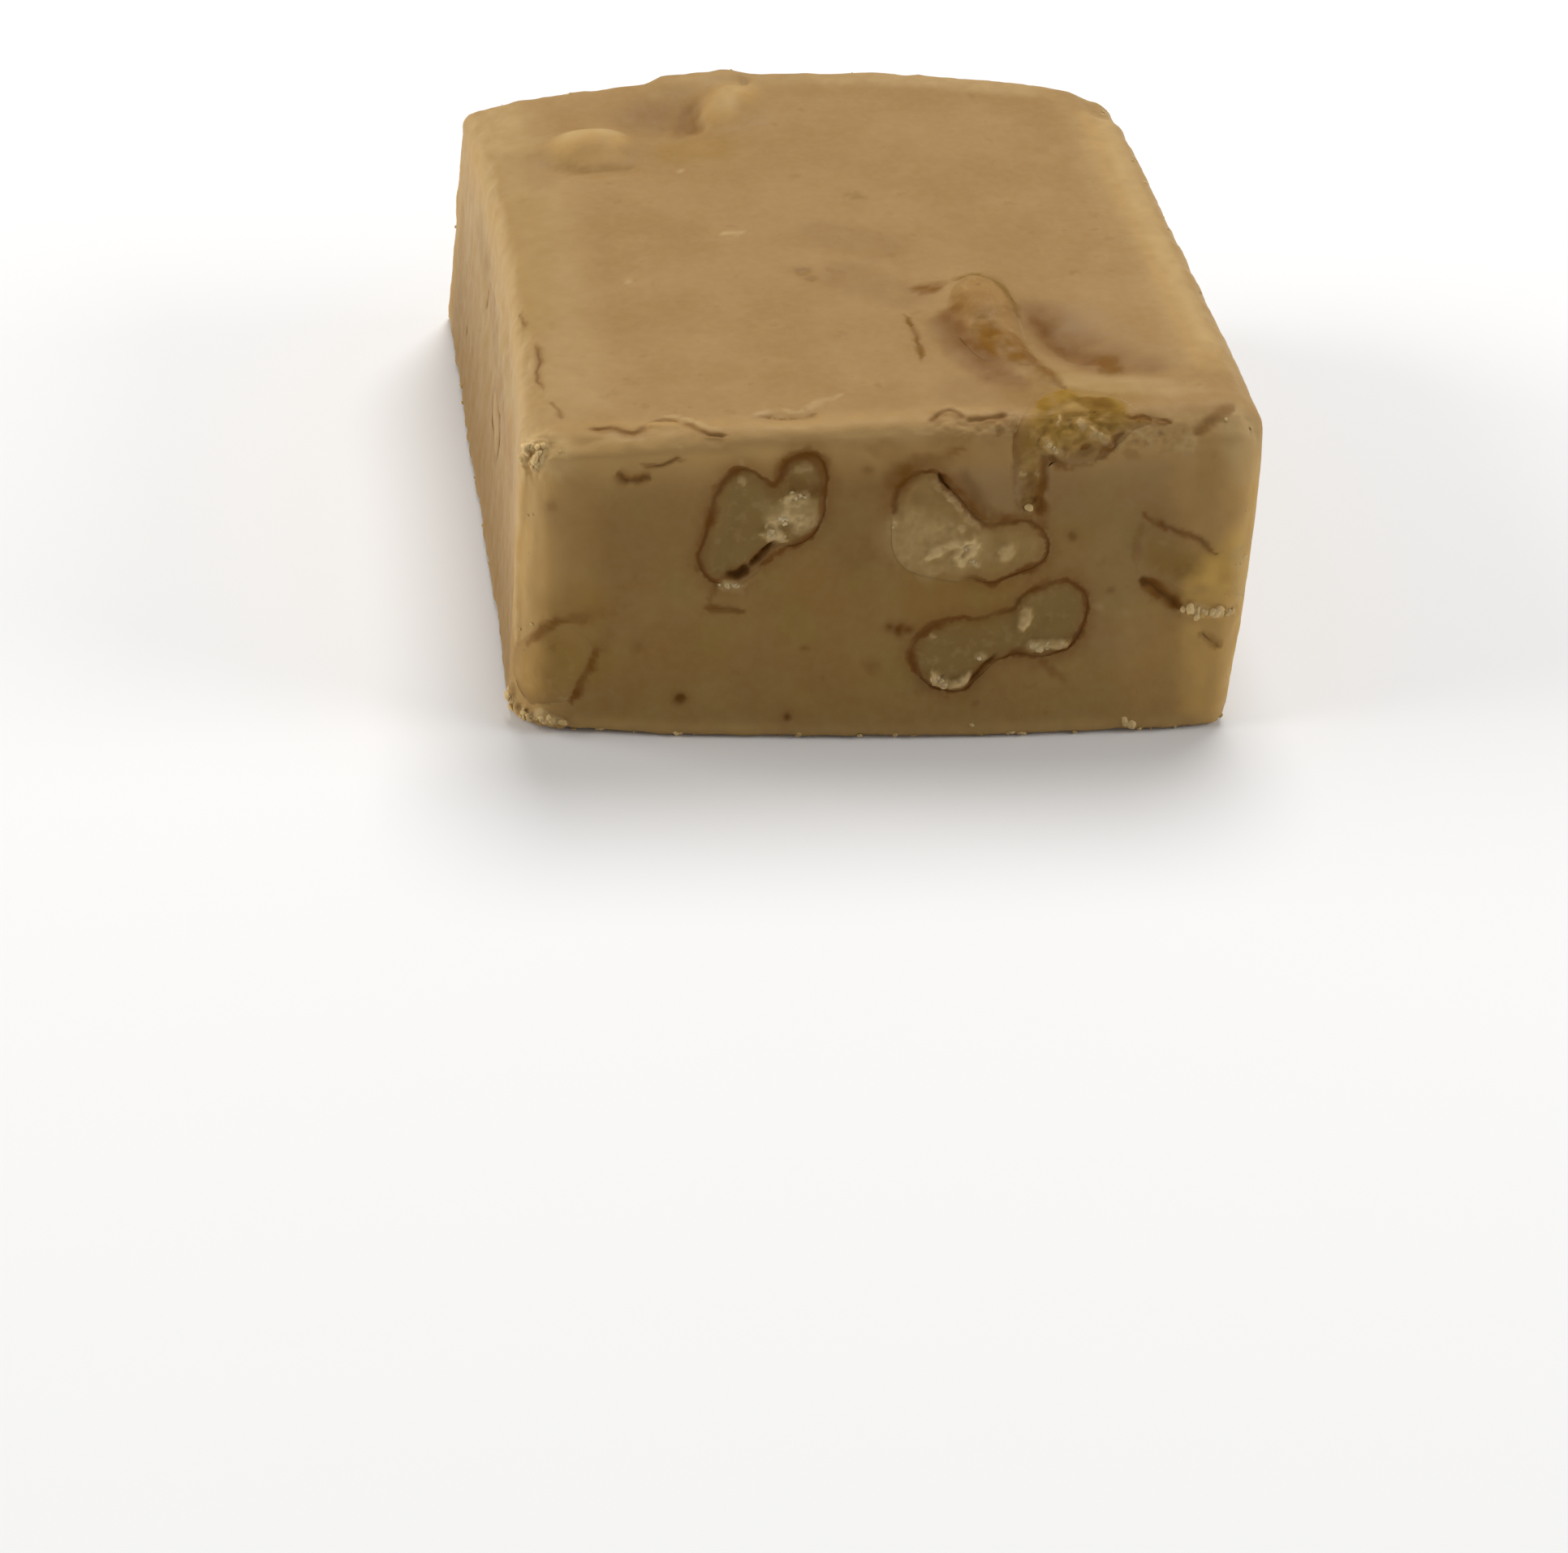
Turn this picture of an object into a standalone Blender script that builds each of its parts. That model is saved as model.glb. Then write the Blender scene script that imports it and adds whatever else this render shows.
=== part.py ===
"""A cut square of walnut fudge, as one block with the walnut pieces that show at its faces.

The block is a box that is rounded, then warped to the eight measured corners and bowed along its faces.
Walnut pieces are runs of overlapping balls, melted together and trimmed flush with the cut.
Metres, +Z up. The piece lies on z = 0 with the origin at the middle of its bounding box's base,
and its front, the cut face with the most walnut, looks along -Y.
"""

import bmesh
import bpy
import numpy as np
from mathutils import Vector
from mathutils.bvhtree import BVHTree

MM = 0.001

# The plain box that the uneven block departs from.
WIDTH = 45.0 * MM
DEPTH = 48.0 * MM
HEIGHT = 20.0 * MM
BOX_LOW = np.array([-WIDTH / 2, -DEPTH / 2, 0.0])
BOX_HIGH = np.array([WIDTH / 2, DEPTH / 2, HEIGHT])

# Edges are crisp where the piece lay on the tray and softer at the top.
# The two upright edges beside the front are softest, the left one down to its foot.
FOOT_RADIUS = 0.45 * MM
UPRIGHT_EDGE_RADIUS = 0.9 * MM
TOP_RADIUS = 1.25 * MM
FRONT_RIGHT_EXTRA_RADIUS = 1.7 * MM
FRONT_LEFT_EXTRA_RADIUS = 1.5 * MM

# How far each corner stands from the plain box's, in mm, by (left or right, front or back, bottom or top).
CORNER_SHIFTS_MM = {
    (0, 0, 0): (0.5, -0.7, 0.0),
    (1, 0, 0): (0.2, -2.15, 0.0),
    (0, 1, 0): (-1.4, 1.1, 0.0),
    (1, 1, 0): (0.2, 0.4, 0.0),
    (0, 0, 1): (0.7, 0.4, 0.2),
    (1, 0, 1): (1.0, 1.2, 1.4),
    (0, 1, 1): (-0.6, -0.9, -2.2),
    (1, 1, 1): (0.4, -0.4, -1.3),
}

# How far the faces bow between their corners.
BACK_CROWN = 1.9 * MM
BACK_BULGE = 1.2 * MM
FRONT_FOOT_BULGE = 1.2 * MM
LEFT_WAIST = 1.2 * MM
RIGHT_BULGE = 0.8 * MM

# Swellings over buried walnut and sunken places of the top skin: x, y, reach along x and y, height, in mm.
TOP_RELIEF_MM = (
    (-15.0, 15.1, 2.9, 1.9, 0.9),
    (-4.9, 19.4, 2.1, 2.1, 0.7),
    (-9.3, 17.9, 2.6, 2.6, -0.8),
    (8.2, -9.6, 2.9, 5.6, 0.8),
    (12.8, -12.8, 2.7, 3.3, -0.7),
    (-2.0, 4.0, 12.0, 9.0, 0.25),
    (-16.0, -12.0, 6.0, 9.0, -0.2),
)
TOP_SKIN_DEPTH = 4.0 * MM

# The four-cornered flat that the block lies on, by its half width and half depth, and how the foot's rim rises
# outside it: by this much for each length outward, fading out at that height.
FLAT_REACH = (18.0 * MM, 19.5 * MM)
FOOT_RIM_SLOPE = 0.025
FOOT_RIM_HEIGHT = 2.0 * MM

# The block's grid: cells along x, y and z, of which the first and last few share a narrow band by the edge.
GRID_CELLS = (24, 24, 10)
BAND_CELLS = 3
EDGE_BAND = 1.5 * MM

# Walnut pieces: balls of x, y, z, radius in mm, before the origin is moved to the base's middle.
SKIN_BLEND = 0.35 * MM
WALNUT_CELL = 1.1 * MM
THIN_WALNUT_CELL = 0.8 * MM
THIN_RADIUS = 1.0 * MM
POCKET_GAP = 0.3 * MM
WALNUTS_MM = {
    "walnut_front_left": (
        (-8.3, -22.9, 16.7, 1.8),
        (-8.5, -22.9, 14.5, 1.9),
        (-9.2, -22.9, 11.8, 1.7),
        (-6.8, -22.7, 15.2, 1.6),
        (-4.8, -22.9, 17.8, 1.4),
        (-5.0, -22.9, 15.3, 1.7),
    ),
    "walnut_front_centre": (
        (2.5, -22.9, 16.9, 1.3),
        (2.9, -22.8, 14.7, 2.1),
        (3.8, -22.9, 12.8, 2.1),
        (5.7, -23.1, 12.5, 1.8),
        (7.2, -23.2, 12.5, 1.6),
        (8.9, -23.2, 12.8, 1.8),
    ),
    "walnut_front_lower": (
        (4.9, -23.7, 4.9, 2.4),
        (6.4, -23.7, 5.7, 1.9),
        (8.0, -23.6, 6.3, 1.7),
        (9.6, -23.6, 7.0, 1.8),
        (11.1, -23.5, 7.9, 2.3),
        (11.6, -23.7, 7.0, 1.9),
    ),
    "walnut_front_right": (
        (17.8, -23.0, 12.1, 1.9),
        (20.0, -22.6, 11.1, 2.2),
        (22.2, -22.0, 10.4, 2.5),
    ),
    "walnut_front_corner": (
        (-19.2, -21.7, 5.2, 2.7),
        (-19.7, -21.8, 3.9, 2.6),
    ),
    "walnut_top_edge": (
        (10.0, -21.4, 19.5, 1.7),
        (12.0, -21.2, 19.8, 1.7),
        (14.0, -21.6, 19.9, 1.3),
        (15.8, -21.8, 20.1, 1.0),
        (9.0, -22.8, 18.6, 1.0),
        (9.0, -23.0, 17.3, 0.9),
        (9.1, -23.2, 16.1, 0.85),
    ),
    "walnut_top": (
        (8.2, -7.1, 20.0, 2.2),
        (8.0, -9.3, 20.2, 2.1),
        (8.1, -11.4, 20.3, 1.8),
        (8.5, -13.3, 20.4, 1.6),
        (9.2, -15.0, 20.5, 1.2),
    ),
    "walnut_right_upper": (
        (21.6, -6.0, 13.6, 2.1),
        (21.7, -3.4, 12.4, 1.8),
        (21.8, -0.6, 13.0, 2.0),
        (21.7, 1.4, 14.2, 1.6),
    ),
    "walnut_right_lower": (
        (21.7, 10.4, 6.6, 2.2),
        (21.7, 13.4, 7.6, 1.8),
    ),
    "walnut_back_left": (
        (-12.0, 24.0, 9.6, 2.2),
        (-9.4, 24.2, 8.4, 1.6),
        (-6.8, 24.4, 8.8, 2.0),
    ),
    "walnut_back_right": (
        (6.4, 24.2, 13.4, 1.9),
        (8.8, 24.1, 12.0, 2.0),
        (9.8, 24.1, 9.4, 1.6),
    ),
    "walnut_left_side": (
        (-22.0, -4.6, 8.6, 1.7),
        (-22.0, -2.2, 9.4, 1.5),
    ),
}

# Cracks in the top skin, along its front and left edges: points near the surface, in mm, and half widths.
CRACKS_MM = (
    (0.30, ((-17.4, -21.7, 20.2), (-16.2, -21.7, 20.2), (-15.4, -22.3, 20.2), (-14.3, -21.7, 20.3))),
    (0.25, ((-13.3, -21.0, 20.4), (-12.1, -21.3, 20.4), (-10.9, -22.2, 20.4), (-9.8, -22.8, 20.3))),
    (0.28, ((-20.6, -7.9, 19.4), (-20.1, -11.1, 19.6), (-19.8, -13.3, 19.7), (-20.3, -15.3, 19.7), (-20.0, -18.1, 19.9))),
    (0.25, ((3.2, -21.8, 20.8), (4.3, -21.4, 20.8), (5.2, -22.2, 20.7), (7.2, -22.0, 20.7))),
    (0.35, ((18.9, -22.9, 20.3), (20.1, -22.4, 20.7), (21.6, -21.5, 21.0))),
    (0.22, ((3.3, -9.5, 20.2), (3.5, -12.2, 20.3), (3.4, -15.2, 20.5))),
    (0.35, ((-16.0, -23.5, 18.0), (-15.3, -23.5, 17.6), (-14.0, -23.5, 17.8))),
)

# Small pits of the surface: a point near it and the pit's radius, in mm.
PITS_MM = (
    (-2.4, -3.5, 19.8, 0.7),
    (2.1, 6.6, 19.6, 0.5),
    (-1.6, 9.5, 19.5, 0.45),
    (-11.6, -25.0, 2.5, 0.45),
    (12.0, -24.2, 13.3, 0.35),
    (1.6, -24.9, 7.4, 0.45),
)

FUDGE_COLOUR = (0.41, 0.25, 0.105)
WALNUT_COLOUR = (0.43, 0.29, 0.13)


def clear_scene():
    for item in list(bpy.data.objects):
        bpy.data.objects.remove(item)


def new_collection(name):
    made = bpy.data.collections.new(name)
    bpy.context.scene.collection.children.link(made)
    return made


def new_material(name, colour, roughness):
    material = bpy.data.materials.new(name)
    material.use_nodes = True
    shader = material.node_tree.nodes["Principled BSDF"]
    shader.inputs["Base Color"].default_value = (*colour, 1.0)
    shader.inputs["Roughness"].default_value = roughness
    shader.inputs["Metallic"].default_value = 0.0
    return material


def add_object(name, mesh, collection, material=None):
    made = bpy.data.objects.new(name, mesh)
    collection.objects.link(made)
    if material:
        mesh.materials.append(material)
    return made


def add_helper(name, mesh, collection):
    """A shape that cuts or trims others and isn't part of the food itself."""
    made = add_object(name, mesh, collection)
    made.hide_render = True
    made.display_type = "WIRE"
    return made


def smooth_step(x):
    x = np.clip(x, 0.0, 1.0)
    return x * x * (3.0 - 2.0 * x)


def arch(x):
    """0 at both ends of a side and 1 at its middle."""
    return 4.0 * x * (1.0 - x)


def round_edges(points):
    """Points on the plain box, drawn in so that its edges and corners are round."""
    right, back = points[:, 0] / WIDTH + 0.5, points[:, 1] / DEPTH + 0.5
    height = points[:, 2] / HEIGHT
    front = (1.0 - back) ** 3
    level = UPRIGHT_EDGE_RADIUS + height * (TOP_RADIUS - UPRIGHT_EDGE_RADIUS)
    level += FRONT_RIGHT_EXTRA_RADIUS * smooth_step(4.0 * right - 3.0) * front * np.sqrt(height)
    level += FRONT_LEFT_EXTRA_RADIUS * smooth_step(1.0 - 4.0 * right) * front
    upright = FOOT_RADIUS + height * (TOP_RADIUS - FOOT_RADIUS)
    upright += 0.6 * FRONT_RIGHT_EXTRA_RADIUS * right**2 * (1.0 - back) ** 2 * height
    radius = np.stack([level, level, upright], axis=1)
    core = np.clip(points, BOX_LOW + radius, BOX_HIGH - radius)
    outward = (points - core) / radius
    length = np.linalg.norm(outward, axis=1, keepdims=True)
    return core + outward / np.maximum(length, 1e-9) * radius


def corner_shift(right, back, height):
    """The corners' departures from the plain box, shared out between them."""
    moved = np.zeros((len(right), 3))
    for (is_right, is_back, is_top), shift in CORNER_SHIFTS_MM.items():
        share = right if is_right else 1.0 - right
        share = share * (back if is_back else 1.0 - back)
        share = share * (height if is_top else 1.0 - height)
        moved += share[:, None] * np.array(shift) * MM
    return moved


def top_relief(x, y):
    """Height of the top skin over a level top."""
    raised = np.zeros(len(x))
    for centre_x, centre_y, reach_x, reach_y, rise in TOP_RELIEF_MM:
        across = (x / MM - centre_x) / reach_x
        along = (y / MM - centre_y) / reach_y
        raised += rise * MM * np.exp(-(across**2 + along**2))
    return raised


def uneven_block(points):
    """Points on the plain box, as an N x 3 array, moved to where the real block's surface is."""
    points = round_edges(points)
    right, back = points[:, 0] / WIDTH + 0.5, points[:, 1] / DEPTH + 0.5
    height = points[:, 2] / HEIGHT
    moved = points + corner_shift(right, back, height)
    moved[:, 0] += LEFT_WAIST * (1.0 - right) * arch(back) * height
    moved[:, 0] += RIGHT_BULGE * right * (1.0 - back) ** 2 * np.sqrt(arch(np.clip(height, 0.0, 1.0)))
    moved[:, 1] -= FRONT_FOOT_BULGE * (1.0 - back) * arch(right) * (1.0 - height) ** 2
    moved[:, 1] += BACK_BULGE * back * arch(right)
    moved[:, 2] += BACK_CROWN * back**3 * arch(right) * height
    near_top = smooth_step((points[:, 2] - HEIGHT + TOP_SKIN_DEPTH) / TOP_SKIN_DEPTH)
    moved[:, 2] += near_top * top_relief(moved[:, 0], moved[:, 1])
    return moved


def box_grid(cells, band_cells, band):
    """A cube cut into cells[axis] cells along each axis, and where its points go on the plain box."""
    grid = bmesh.new()
    bmesh.ops.create_cube(grid, size=1.0)
    for axis, count in enumerate(cells):
        along = [e for e in grid.edges if abs(e.verts[0].co[axis] - e.verts[1].co[axis]) > 1e-6]
        bmesh.ops.subdivide_edges(grid, edges=along, cuts=count - 1)
    places = np.array([v.co for v in grid.verts]) + 0.5
    for axis, count in enumerate(cells):
        low, high = BOX_LOW[axis], BOX_HIGH[axis]
        stops = [0, band_cells, count - band_cells, count]
        places[:, axis] = np.interp(places[:, axis] * count, stops, [low, low + band, high - band, high])
    return grid, places


def raise_foot_rim(grid):
    """Leaves a four-cornered flat under the block, and lets the foot rise gently outside it."""
    for axis, reach in enumerate(FLAT_REACH):
        for side in (-1.0, 1.0):
            underside = [f for f in grid.faces if all(v.co.z < 1e-7 for v in f.verts)]
            whole = list({item for face in underside for item in (face, *face.edges, *face.verts)})
            place = Vector([side * reach if a == axis else 0.0 for a in range(3)])
            across = Vector([1.0 if a == axis else 0.0 for a in range(3)])
            bmesh.ops.bisect_plane(grid, geom=whole, plane_co=place, plane_no=across)
    for vert in grid.verts:
        beyond = sum(max(abs(vert.co[axis]) - reach, 0.0) for axis, reach in enumerate(FLAT_REACH))
        vert.co.z += FOOT_RIM_SLOPE * beyond * max(1.0 - vert.co.z / FOOT_RIM_HEIGHT, 0.0)


def block_mesh():
    """The block with no pockets, cracks or pits."""
    grid, points = box_grid(GRID_CELLS, BAND_CELLS, EDGE_BAND)
    for vert, place in zip(grid.verts, uneven_block(points)):
        vert.co = place
    underside = [f for f in grid.faces if all(v.co.z < 1e-7 for v in f.verts)]
    bmesh.ops.dissolve_faces(grid, faces=underside, use_verts=True)
    raise_foot_rim(grid)
    mesh = bpy.data.meshes.new("block")
    grid.to_mesh(mesh)
    grid.free()
    return mesh


def lobed_distance(points, lobes):
    """Distance from each point to balls that melt into each other, negative inside."""
    crowd = np.zeros(len(points))
    for x, y, z, radius in lobes:
        apart = np.linalg.norm(points - np.array([x, y, z]) * MM, axis=1) - radius * MM
        crowd += np.exp(-np.clip(apart / SKIN_BLEND, -40.0, 40.0))
    return -SKIN_BLEND * np.log(crowd)


def pull_to_surface(points, lobes, offset):
    """Points walked onto the melted balls' surface, or onto one that far outside it."""
    nudge = 0.01 * MM
    for _ in range(6):
        here = lobed_distance(points, lobes)
        slope = np.stack(
            [(lobed_distance(points + nudge * axis, lobes) - here) / nudge for axis in np.eye(3)], axis=1
        )
        steep = np.maximum((slope**2).sum(axis=1, keepdims=True), 0.05)
        points = points - (here - offset)[:, None] * slope / steep
    return points


def lobed_mesh(name, lobes, offset):
    """One closed mesh of a walnut piece, swollen by offset."""
    balls = bmesh.new()
    for x, y, z, radius in lobes:
        ball = bmesh.ops.create_icosphere(balls, subdivisions=3, radius=radius * MM + offset)
        bmesh.ops.translate(balls, verts=ball["verts"], vec=Vector((x, y, z)) * MM)
    loose = bpy.data.meshes.new(name)
    balls.to_mesh(loose)
    balls.free()
    source = bpy.data.objects.new(name, loose)
    bpy.context.scene.collection.objects.link(source)
    melt = source.modifiers.new("melt", "REMESH")
    melt.mode = "VOXEL"
    thin = min(radius for x, y, z, radius in lobes) * MM < THIN_RADIUS
    melt.voxel_size = THIN_WALNUT_CELL if thin else WALNUT_CELL
    graph = bpy.context.evaluated_depsgraph_get()
    melted = bpy.data.meshes.new_from_object(source.evaluated_get(graph))
    bpy.data.objects.remove(source)
    places = pull_to_surface(np.array([v.co for v in melted.vertices]), lobes, offset)
    melted.vertices.foreach_set("co", places.ravel())
    melted.name = name
    return melted


def crack_mesh(name, half_width, points, surface):
    """A thin square tube along the crack, half sunk in the surface."""
    curve = bpy.data.curves.new(name, "CURVE")
    curve.dimensions = "3D"
    curve.bevel_depth = half_width * MM
    curve.bevel_resolution = 0
    curve.use_fill_caps = True
    line = curve.splines.new("POLY")
    line.points.add(len(points) - 1)
    for knot, place in zip(line.points, points):
        found = surface.find_nearest(Vector(place) * MM)[0]
        knot.co = (*found, 1.0)
        knot.radius = 0.4 if place in (points[0], points[-1]) else 1.0
    source = bpy.data.objects.new(name, curve)
    bpy.context.scene.collection.objects.link(source)
    graph = bpy.context.evaluated_depsgraph_get()
    mesh = bpy.data.meshes.new_from_object(source.evaluated_get(graph))
    bpy.data.objects.remove(source)
    welded = bmesh.new()
    welded.from_mesh(mesh)
    bmesh.ops.remove_doubles(welded, verts=welded.verts, dist=0.001 * MM)
    bmesh.ops.recalc_face_normals(welded, faces=welded.faces)
    welded.to_mesh(mesh)
    welded.free()
    return mesh


def pit_mesh(name, x, y, z, radius, surface):
    """A small ball centred on the surface."""
    ball = bmesh.new()
    bmesh.ops.create_icosphere(ball, subdivisions=1, radius=radius * MM)
    centre = surface.find_nearest(Vector((x, y, z)) * MM)[0]
    bmesh.ops.translate(ball, verts=ball.verts, vec=centre)
    mesh = bpy.data.meshes.new(name)
    ball.to_mesh(mesh)
    ball.free()
    return mesh


def add_boolean(item, operation, collection):
    cut = item.modifiers.new(operation.lower(), "BOOLEAN")
    cut.operation = operation
    cut.operand_type = "COLLECTION"
    cut.collection = collection
    cut.solver = "EXACT"


def base_middle(mesh):
    """The middle of the foot of the mesh's bounding box."""
    places = np.array([v.co for v in mesh.vertices])
    low, high = places.min(axis=0), places.max(axis=0)
    return Vector(((low[0] + high[0]) / 2, (low[1] + high[1]) / 2, low[2]))


def shade(item):
    item.data.shade_smooth()
    item.data.set_sharp_from_angle(angle=0.7)


def main():
    clear_scene()
    food = new_collection("walnut_fudge")
    cutters = new_collection("cutters")
    trims = new_collection("trims")
    fudge = new_material("fudge", FUDGE_COLOUR, 0.5)
    walnut = new_material("walnut", WALNUT_COLOUR, 0.6)

    whole = block_mesh()
    origin = base_middle(whole)
    surface = BVHTree.FromPolygons([v.co for v in whole.vertices], [p.vertices for p in whole.polygons])

    made = [add_object("fudge_block", whole, food, fudge)]
    made.append(add_helper("whole_block", whole.copy(), trims))
    for name, lobes in WALNUTS_MM.items():
        made.append(add_object(name, lobed_mesh(name, lobes, 0.0), food, walnut))
        made.append(add_helper(name + "_pocket", lobed_mesh(name + "_pocket", lobes, POCKET_GAP), cutters))
        add_boolean(made[-2], "INTERSECT", trims)
    for number, (half_width, points) in enumerate(CRACKS_MM, 1):
        name = f"crack_{number}"
        made.append(add_helper(name, crack_mesh(name, half_width, points, surface), cutters))
    for number, pit in enumerate(PITS_MM, 1):
        name = f"pit_{number}"
        made.append(add_helper(name, pit_mesh(name, *pit, surface), cutters))
    add_boolean(made[0], "DIFFERENCE", cutters)

    for item in made:
        item.location = -origin
        shade(item)


main()
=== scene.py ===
"""The looks of a cut square of walnut fudge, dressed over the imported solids.

The fudge and each walnut piece are finely meshed again from the same named sizes as the solids, with
their grain, cracks, pits, brown walnut skin and broken nutmeat as real relief. Shapes are worked out in
millimetres, in the frame before the origin moves to the middle of the base, and are settled at the end.

Features of the surface are drawn on a face: front, top, left, right, back, or edge, which looks at the
top front edge from in front and above. Each face's two coordinates are given in FACES.
"""

import math

import bmesh
import bpy
import numpy as np
from mathutils import Matrix, Vector
from mathutils.bvhtree import BVHTree


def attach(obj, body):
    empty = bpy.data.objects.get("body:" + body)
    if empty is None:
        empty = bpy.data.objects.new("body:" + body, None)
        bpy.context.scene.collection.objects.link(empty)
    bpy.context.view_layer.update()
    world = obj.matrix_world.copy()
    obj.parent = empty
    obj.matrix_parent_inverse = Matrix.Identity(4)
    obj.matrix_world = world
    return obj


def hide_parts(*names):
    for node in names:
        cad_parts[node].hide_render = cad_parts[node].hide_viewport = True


# The plain box that the uneven block departs from, as in the solids.
WIDTH, DEPTH, HEIGHT = 45.0, 48.0, 20.0
BOX_LOW = np.array([-WIDTH / 2, -DEPTH / 2, 0.0])
BOX_HIGH = np.array([WIDTH / 2, DEPTH / 2, HEIGHT])
FOOT_RADIUS = 0.45
UPRIGHT_EDGE_RADIUS = 0.9
TOP_RADIUS = 1.25
FRONT_RIGHT_EXTRA_RADIUS = 1.7
FRONT_LEFT_EXTRA_RADIUS = 1.5
CORNER_SHIFTS = {
    (0, 0, 0): (0.5, -0.7, 0.0),
    (1, 0, 0): (0.2, -2.15, 0.0),
    (0, 1, 0): (-1.4, 1.1, 0.0),
    (1, 1, 0): (0.2, 0.4, 0.0),
    (0, 0, 1): (0.7, 0.4, 0.2),
    (1, 0, 1): (1.0, 1.2, 1.4),
    (0, 1, 1): (-0.6, -0.9, -2.2),
    (1, 1, 1): (0.4, -0.4, -1.3),
}
BACK_CROWN = 1.9
BACK_BULGE = 1.2
FRONT_FOOT_BULGE = 1.2
LEFT_WAIST = 1.2
RIGHT_BULGE = 0.8
TOP_RELIEF = (
    (-15.0, 15.1, 2.9, 1.9, 0.9),
    (-4.9, 19.4, 2.1, 2.1, 0.7),
    (-9.3, 17.9, 2.6, 2.6, -0.8),
    (8.2, -9.6, 2.9, 5.6, 0.8),
    (12.8, -12.8, 2.7, 3.3, -0.7),
    (-2.0, 4.0, 12.0, 9.0, 0.25),
    (-16.0, -12.0, 6.0, 9.0, -0.2),
)
TOP_SKIN_DEPTH = 4.0
SOLID_CELLS = (24, 24, 10)
SOLID_BAND_CELLS = 3
SOLID_BAND = 1.5

# The finer grid that is shown.
FINE_CELLS = ((118, 124, 54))
FINE_BAND_CELLS = 8
FINE_BAND = 1.9
REFINE_REACHES = ((0.9, 0.35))

SHARP_ANGLE = 58.0
FAR = 99.0
MILLIMETRE = 0.001

HALF = math.sqrt(0.5)
# Each face's two coordinate directions, and the way it looks.
FACES = {
    "front": ((1.0, 0.0, 0.0), (0.0, 0.0, 1.0), (0.0, -1.0, 0.0)),
    "back": ((1.0, 0.0, 0.0), (0.0, 0.0, 1.0), (0.0, 1.0, 0.0)),
    "left": ((0.0, 1.0, 0.0), (0.0, 0.0, 1.0), (-1.0, 0.0, 0.0)),
    "right": ((0.0, 1.0, 0.0), (0.0, 0.0, 1.0), (1.0, 0.0, 0.0)),
    "top": ((1.0, 0.0, 0.0), (0.0, 1.0, 0.0), (0.0, 0.0, 1.0)),
    "edge": ((1.0, 0.0, 0.0), (0.0, HALF, HALF), (0.0, -HALF, HALF)),
}
# How far out along its look a point must lie to be on a face.
FACE_REACH = {"front": 15.0, "back": 15.0, "left": 13.0, "right": 13.0, "top": 11.0, "edge": 20.0}
# How far out a drawn place is dropped from, how far where it misses the block, and where the cuts' bars end.
DROP_FROM = 60.0
MISSED_FROM = 25.0
BAR_END = 40.0

# Walnut pieces: balls of x, y, z, radius, as in the solids.
SKIN_BLEND = 0.35
LOBES = {
    "walnut_front_left": (
        (-8.3, -22.9, 16.7, 1.8),
        (-8.5, -22.9, 14.5, 1.9),
        (-9.2, -22.9, 11.8, 1.7),
        (-6.8, -22.7, 15.2, 1.6),
        (-4.8, -22.9, 17.8, 1.4),
        (-5.0, -22.9, 15.3, 1.7),
    ),
    "walnut_front_centre": (
        (2.5, -22.9, 16.9, 1.3),
        (2.9, -22.8, 14.7, 2.1),
        (3.8, -22.9, 12.8, 2.1),
        (5.7, -23.1, 12.5, 1.8),
        (7.2, -23.2, 12.5, 1.6),
        (8.9, -23.2, 12.8, 1.8),
    ),
    "walnut_front_lower": (
        (4.9, -23.7, 4.9, 2.4),
        (6.4, -23.7, 5.7, 1.9),
        (8.0, -23.6, 6.3, 1.7),
        (9.6, -23.6, 7.0, 1.8),
        (11.1, -23.5, 7.9, 2.3),
        (11.6, -23.7, 7.0, 1.9),
    ),
    "walnut_front_right": (
        (17.8, -23.0, 12.1, 1.9),
        (20.0, -22.6, 11.1, 2.2),
        (22.2, -22.0, 10.4, 2.5),
    ),
    "walnut_front_corner": (
        (-19.2, -21.7, 5.2, 2.7),
        (-19.7, -21.8, 3.9, 2.6),
    ),
    "walnut_top_edge": (
        (10.0, -21.4, 19.5, 1.7),
        (12.0, -21.2, 19.8, 1.7),
        (14.0, -21.6, 19.9, 1.3),
        (15.8, -21.8, 20.1, 1.0),
        (9.0, -22.8, 18.6, 1.0),
        (9.0, -23.0, 17.3, 0.9),
        (9.1, -23.2, 16.1, 0.85),
    ),
    "walnut_top": (
        (8.2, -7.1, 20.0, 2.2),
        (8.0, -9.3, 20.2, 2.1),
        (8.1, -11.4, 20.3, 1.8),
        (8.5, -13.3, 20.4, 1.6),
        (9.2, -15.0, 20.5, 1.2),
    ),
    "walnut_right_upper": (
        (21.6, -6.0, 13.6, 2.1),
        (21.7, -3.4, 12.4, 1.8),
        (21.8, -0.6, 13.0, 2.0),
        (21.7, 1.4, 14.2, 1.6),
    ),
    "walnut_right_lower": (
        (21.7, 10.4, 6.6, 2.2),
        (21.7, 13.4, 7.6, 1.8),
    ),
    "walnut_back_left": (
        (-12.0, 24.0, 9.6, 2.2),
        (-9.4, 24.2, 8.4, 1.6),
        (-6.8, 24.4, 8.8, 2.0),
    ),
    "walnut_back_right": (
        (6.4, 24.2, 13.4, 1.9),
        (8.8, 24.1, 12.0, 2.0),
        (9.8, 24.1, 9.4, 1.6),
    ),
    "walnut_left_side": (
        (-22.0, -4.6, 8.6, 1.7),
        (-22.0, -2.2, 9.4, 1.5),
    ),
}
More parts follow.
